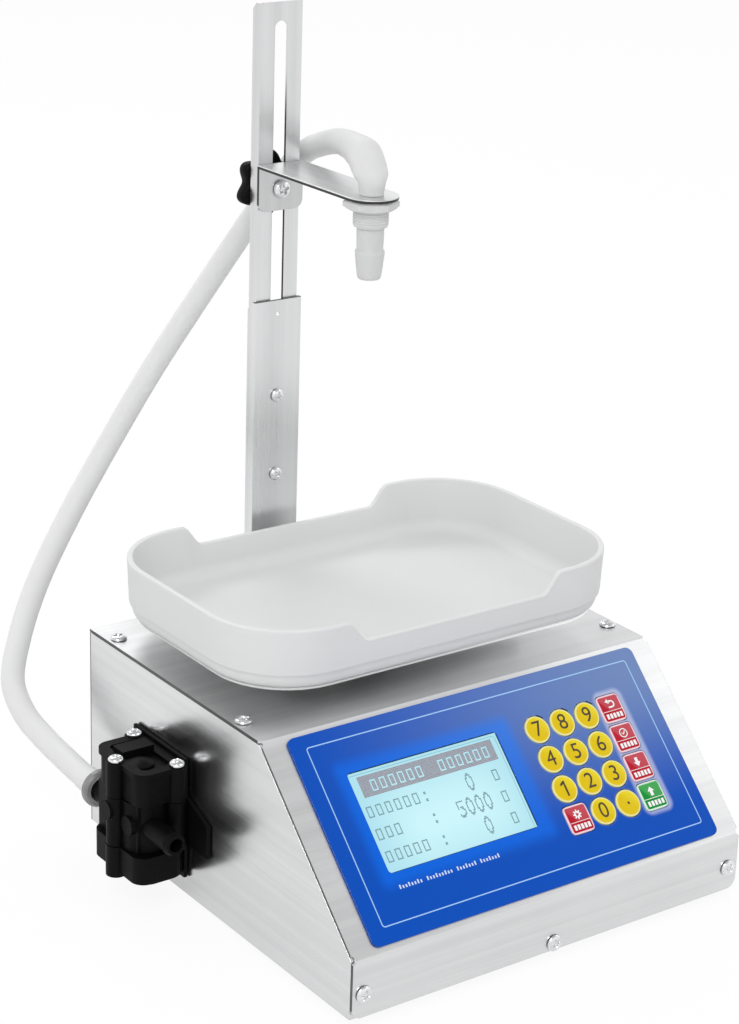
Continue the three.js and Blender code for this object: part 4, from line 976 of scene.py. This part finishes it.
def tray_outline(inset):
    """Rounded rectangle drawn in by inset, with extra points where the rim climbs."""
    radius = tray_corner - inset
    w, h = tray_half[0] - tray_corner, tray_half[1] - tray_corner
    quarter = np.linspace(0, np.pi / 2, 14)
    climb = np.linspace(ramp_start - 1.5, ramp_start + ramp_length + 2.5, 9)
    straight = np.concatenate([-climb[::-1], [-20, 0, 20], climb])
    sides = np.linspace(-h, h, 5)[1:-1]
    runs = []
    for x, y, start in ((w, -h, -np.pi / 2), (w, h, 0), (-w, h, np.pi / 2), (-w, -h, np.pi)):
        a = start + quarter
        runs.append(np.stack([x + radius * np.cos(a), y + radius * np.sin(a)], axis=1))
    right = np.stack([np.full_like(sides, w + radius), sides], axis=1)
    back = np.stack([straight[::-1], np.full_like(straight, h + radius)], axis=1)
    left_side = np.stack([np.full_like(sides, -w - radius), sides[::-1]], axis=1)
    front = np.stack([straight, np.full_like(straight, -h - radius)], axis=1)
    return np.concatenate([runs[0], right, runs[1], back, runs[2], left_side, runs[3], front])


def tray_rim(plan):
    """Height of the rim round the tray, which dips between the ramps of the long sides."""
    run = np.clip((np.abs(plan[:, 0]) - ramp_start) / ramp_length, 0, 1)
    share = run * run * (3 - 2 * run)
    low = (np.abs(plan[:, 1]) > tray_half[1] - tray_corner + 6) * (1 - share)
    return tray_height - tray_dip * low


def tray_points():
    """Rings from the middle of the underside, out round the foot, up the wall, over the rim and in.

    Each ring has an inset from the outline and a height, a share of the plain wall's height, or a
    depth under the rim."""
    foot = [(26, 0.9), (9.5, 0.9), (8.6, 0.9), (8.2, 0.2), (7.7, 0.0), (5.1, 0.0), (4.6, 0.12), (4.4, 0.4)]
    groove = [(4.4, 0.95), (4.6, 1.1), (5.1, 1.2), (5.1, 1.5), (4.5, 1.6), (4.2, 1.75)]
    wall = [(3.6, 2.1), (2.8, 3.0), (2.3, 4.2), (2.0, 5.6), (1.75, 7.1)]
    moulding_line = [(1.65, 7.4), (1.05, 7.5), (0.9, 7.8), (0.8, plain_wall)]
    plain = [(0.45, 0.5), (0.06, 0.94)]
    over = [(0.0, 0.7), (0.25, 0.2), (0.9, 0.0), (1.7, 0.0), (2.35, 0.2), (2.6, 0.7)]
    inner = [(3.4, 9.0), (3.6, 7.6), (4.2, 6.0), (5.2, 4.5), (6.6, 3.4), (8.2, 2.8), (10, 2.6), (26, 2.6)]
    rim = tray_rim(tray_outline(0))
    level = np.ones_like(rim)
    rings = [(inset, height * level) for inset, height in foot + groove + wall + moulding_line]
    rings += [(inset, plain_wall + (rim - plain_wall) * share) for inset, share in plain]
    rings += [(inset, rim - depth) for inset, depth in over]
    rings += [(inset, height * level) for inset, height in inner]
    points = np.array([np.column_stack([tray_outline(inset), height]) for inset, height in rings])
    points[..., 1] += tray_centre_y
    points[..., 2] += tray_base
    return points * 0.001


tray_mesh = grid_mesh("weigh_tray_moulding", tray_points(), closed=(False, True), caps=(True, True))
milk = Finish("milky_moulding", Roughness=0.5, IOR=1.45, Specular_IOR_Level=0.25)
milk.set(Subsurface_Weight=0.25, Subsurface_Radius=(0.005, 0.005, 0.005), Subsurface_Scale=1.0)
veil = milk.noise(milk.here(), 18, 3)
milk.set(Base_Color=milk.mix(veil, (0.67, 0.675, 0.675, 1), (0.72, 0.725, 0.725, 1)))
milk.set(Roughness=veil * 0.1 + 0.45, Normal=milk.bump(milk.noise(milk.here(), 420, 3), 0.00005, 0.25))
x, _, z = milk.parts(milk.here())
# Painted light: the right part of the underside, below the floor, glows.
painted_glow = x.rise(-0.03, 0.09) * (1 - z.rise(0.1038, 0.1043))
milk.set(Emission_Color=milk.mix(painted_glow, (0, 0, 0, 1), (0.40, 0.41, 0.41, 1)), Emission_Strength=1.0)
moulding = piece_of("weigh_tray_moulding", tray_mesh, milk, 40)
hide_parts("weigh_tray")
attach(moulding, "tray")


# Nozzle: a turned and moulded milky nylon fitting. A nut stands against the plate's underside,
# the thread shows below it, and the barbed tip tapers to its mouth.
def turned(profile, axis_place):
    """Surface of revolution about a vertical axis; the profile is a list of radius and height."""
    r, z = 0.001 * np.array(profile).T
    angle = np.linspace(0, 2 * np.pi, 64, endpoint=False)
    x = axis_place[0] * 0.001 + r[:, None] * np.cos(angle)
    y = axis_place[1] * 0.001 + r[:, None] * np.sin(angle)
    return np.stack(np.broadcast_arrays(x, y, z[:, None]), axis=-1)


nylon = Finish("milky_nylon", Roughness=0.5, IOR=1.5, Specular_IOR_Level=0.25)
nylon.set(Subsurface_Weight=0.25, Subsurface_Radius=(0.003, 0.003, 0.003), Subsurface_Scale=1.0)
flow = nylon.noise(nylon.mapped(nylon.here(), (200, 200, 60)), 1.0, 2)
nylon.set(Base_Color=nylon.mix(flow, (0.60, 0.603, 0.603, 1), (0.66, 0.663, 0.663, 1)))
nylon.set(Normal=nylon.bump(flow, 0.00005, 0.3))
bore = 2.4
thread_top = 277.0
thread_pitch = 1.15
thread = []
for i in range(6):
    top = thread_top - i * thread_pitch
    thread += [(7.45, top), (7.45, top - 0.35), (7.2, top - 0.58), (7.2, top - 0.86)]
neck = [(bore, 283.5), (3.6, 283.5), (3.7, 283.3), (3.7, 281.2), (7.0, 281.0)]
shaft = [(7.0, 269.9), (5.75, 269.6), (5.7, 266), (5.55, 261.2), (5.5, 260.3)]
barb = [(6.2, 259.3), (6.2, 258.6), (5.6, 253.0), (5.1, 249.4), (4.85, 248.2)]
mouth = [(4.4, 247.75), (bore + 0.5, 247.7), (bore, 247.9)]
nozzle_points = turned(neck + thread + shaft + barb + mouth, (0, nozzle_y))
nozzle_mesh = grid_mesh("nozzle_fitting", nozzle_points, closed=(True, True))
fitting = piece_of("nozzle_fitting", nozzle_mesh, nylon, 40)
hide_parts("nozzle")
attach(fitting, "nozzle_carriage")


def hex_points(flats, low, high, hole, place):
    """Six-sided ring: the radius follows the flats, held back to a circle at both chamfers."""
    angle = np.linspace(0, 2 * np.pi, 96, endpoint=False)
    sixth = (angle + np.pi / 6) % (np.pi / 3) - np.pi / 6
    side = flats / 2 / np.cos(sixth)
    face, corner, free = flats / 2 - 0.6, flats / 2 + 0.55, side.max()
    rows = [(hole, high), (face, high), (corner, high - 0.55), (free, high - 1.0)]
    rows += [(free, low + 1.0), (corner, low + 0.55), (face, low), (hole, low)]
    r = np.array([np.minimum(side, limit) for limit, _ in rows])
    z = np.array([height for _, height in rows])[:, None]
    x = place[0] + r * np.cos(angle)
    y = place[1] + r * np.sin(angle)
    return np.stack(np.broadcast_arrays(x, y, z), axis=-1) * 0.001


nut_points = hex_points(20.4, 277.2, 281.2, 7.1, (0, nozzle_y))
nut_mesh = grid_mesh("nozzle_nut", nut_points, closed=(True, True))
nut = piece_of("nozzle_nut", nut_mesh, nylon, 25)
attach(nut, "nozzle_carriage")


# Knob: a black moulded hand nut with six lobes, rounded at both faces.
def knob_points():
    """Rings about the clamp screw: the hub, the lobes from front to back, and a dished back.

    The lobes' radius swings between 11.5 and 15 mm six times a turn."""
    angle = np.linspace(0, 2 * np.pi, 144, endpoint=False)
    lobes = 13.25 + 1.75 * np.cos(6 * (angle - math.radians(7)))
    round_ring = np.ones_like(angle)
    hub = [(2.9, 120.2), (2.9, 111.3), (5.6, 111.3), (6.0, 111.8), (6.0, 116.2)]
    inset = [(2.6, 116.2), (1.2, 116.35), (0.35, 116.9), (0.0, 117.8)]
    inset += [(0.0, 120.6), (0.35, 121.7), (1.2, 122.3), (2.6, 122.5)]
    dish = [(6.4, 122.5), (6.0, 121.7), (0.2, 121.4)]
    rings = [(radius * round_ring, y) for radius, y in hub]
    rings += [(lobes - drawn_in, y) for drawn_in, y in inset]
    rings += [(radius * round_ring, y) for radius, y in dish]
    r = np.array([radius for radius, _ in rings])
    y = np.array([depth for _, depth in rings])[:, None]
    x = r * np.sin(angle)
    z = clamp_height + r * np.cos(angle)
    return np.stack(np.broadcast_arrays(x, y, z), axis=-1) * 0.001


black = Finish("black_plastic", Roughness=0.5, Specular_IOR_Level=0.09)
grain = black.noise(black.here(), 1800, 3)
wear = black.noise(black.here(), 90, 3)
black.set(Base_Color=black.mix(wear, (0.001, 0.001, 0.001, 1), (0.004, 0.004, 0.0042, 1)))
black.set(Roughness=grain * 0.16 + wear * 0.1 + 0.38, Normal=black.bump(grain, 0.00005, 0.35))
knob_mesh = grid_mesh("clamp_knob_moulding", knob_points(), closed=(False, True), caps=(True, True))
knob = piece_of("clamp_knob_moulding", knob_mesh, black, 40)
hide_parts("clamp_knob")
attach(knob, "knob")


# Pump: black mouldings stacked on a plate, with a smoky ring on the outlet. The mains inlet and
# the rocker switch in the back wall are of the same plastic.
black_pieces = ["pump_plate", "pump_cup", "pump_body", "pump_head"]
black_pieces += ["power_inlet", "power_switch", "switch_rocker"]
for node in black_pieces:
    softened(node, black, 0.45, 3)
smoke = Finish("smoky_ring", Roughness=0.25, Transmission_Weight=0.5, IOR=1.5)
wisps = smoke.noise(smoke.here(), 200)
smoke.set(Base_Color=smoke.mix(wisps, (0.36, 0.36, 0.37, 1), (0.47, 0.47, 0.48, 1)))
softened("outlet_collar", smoke, 0.3, 2)
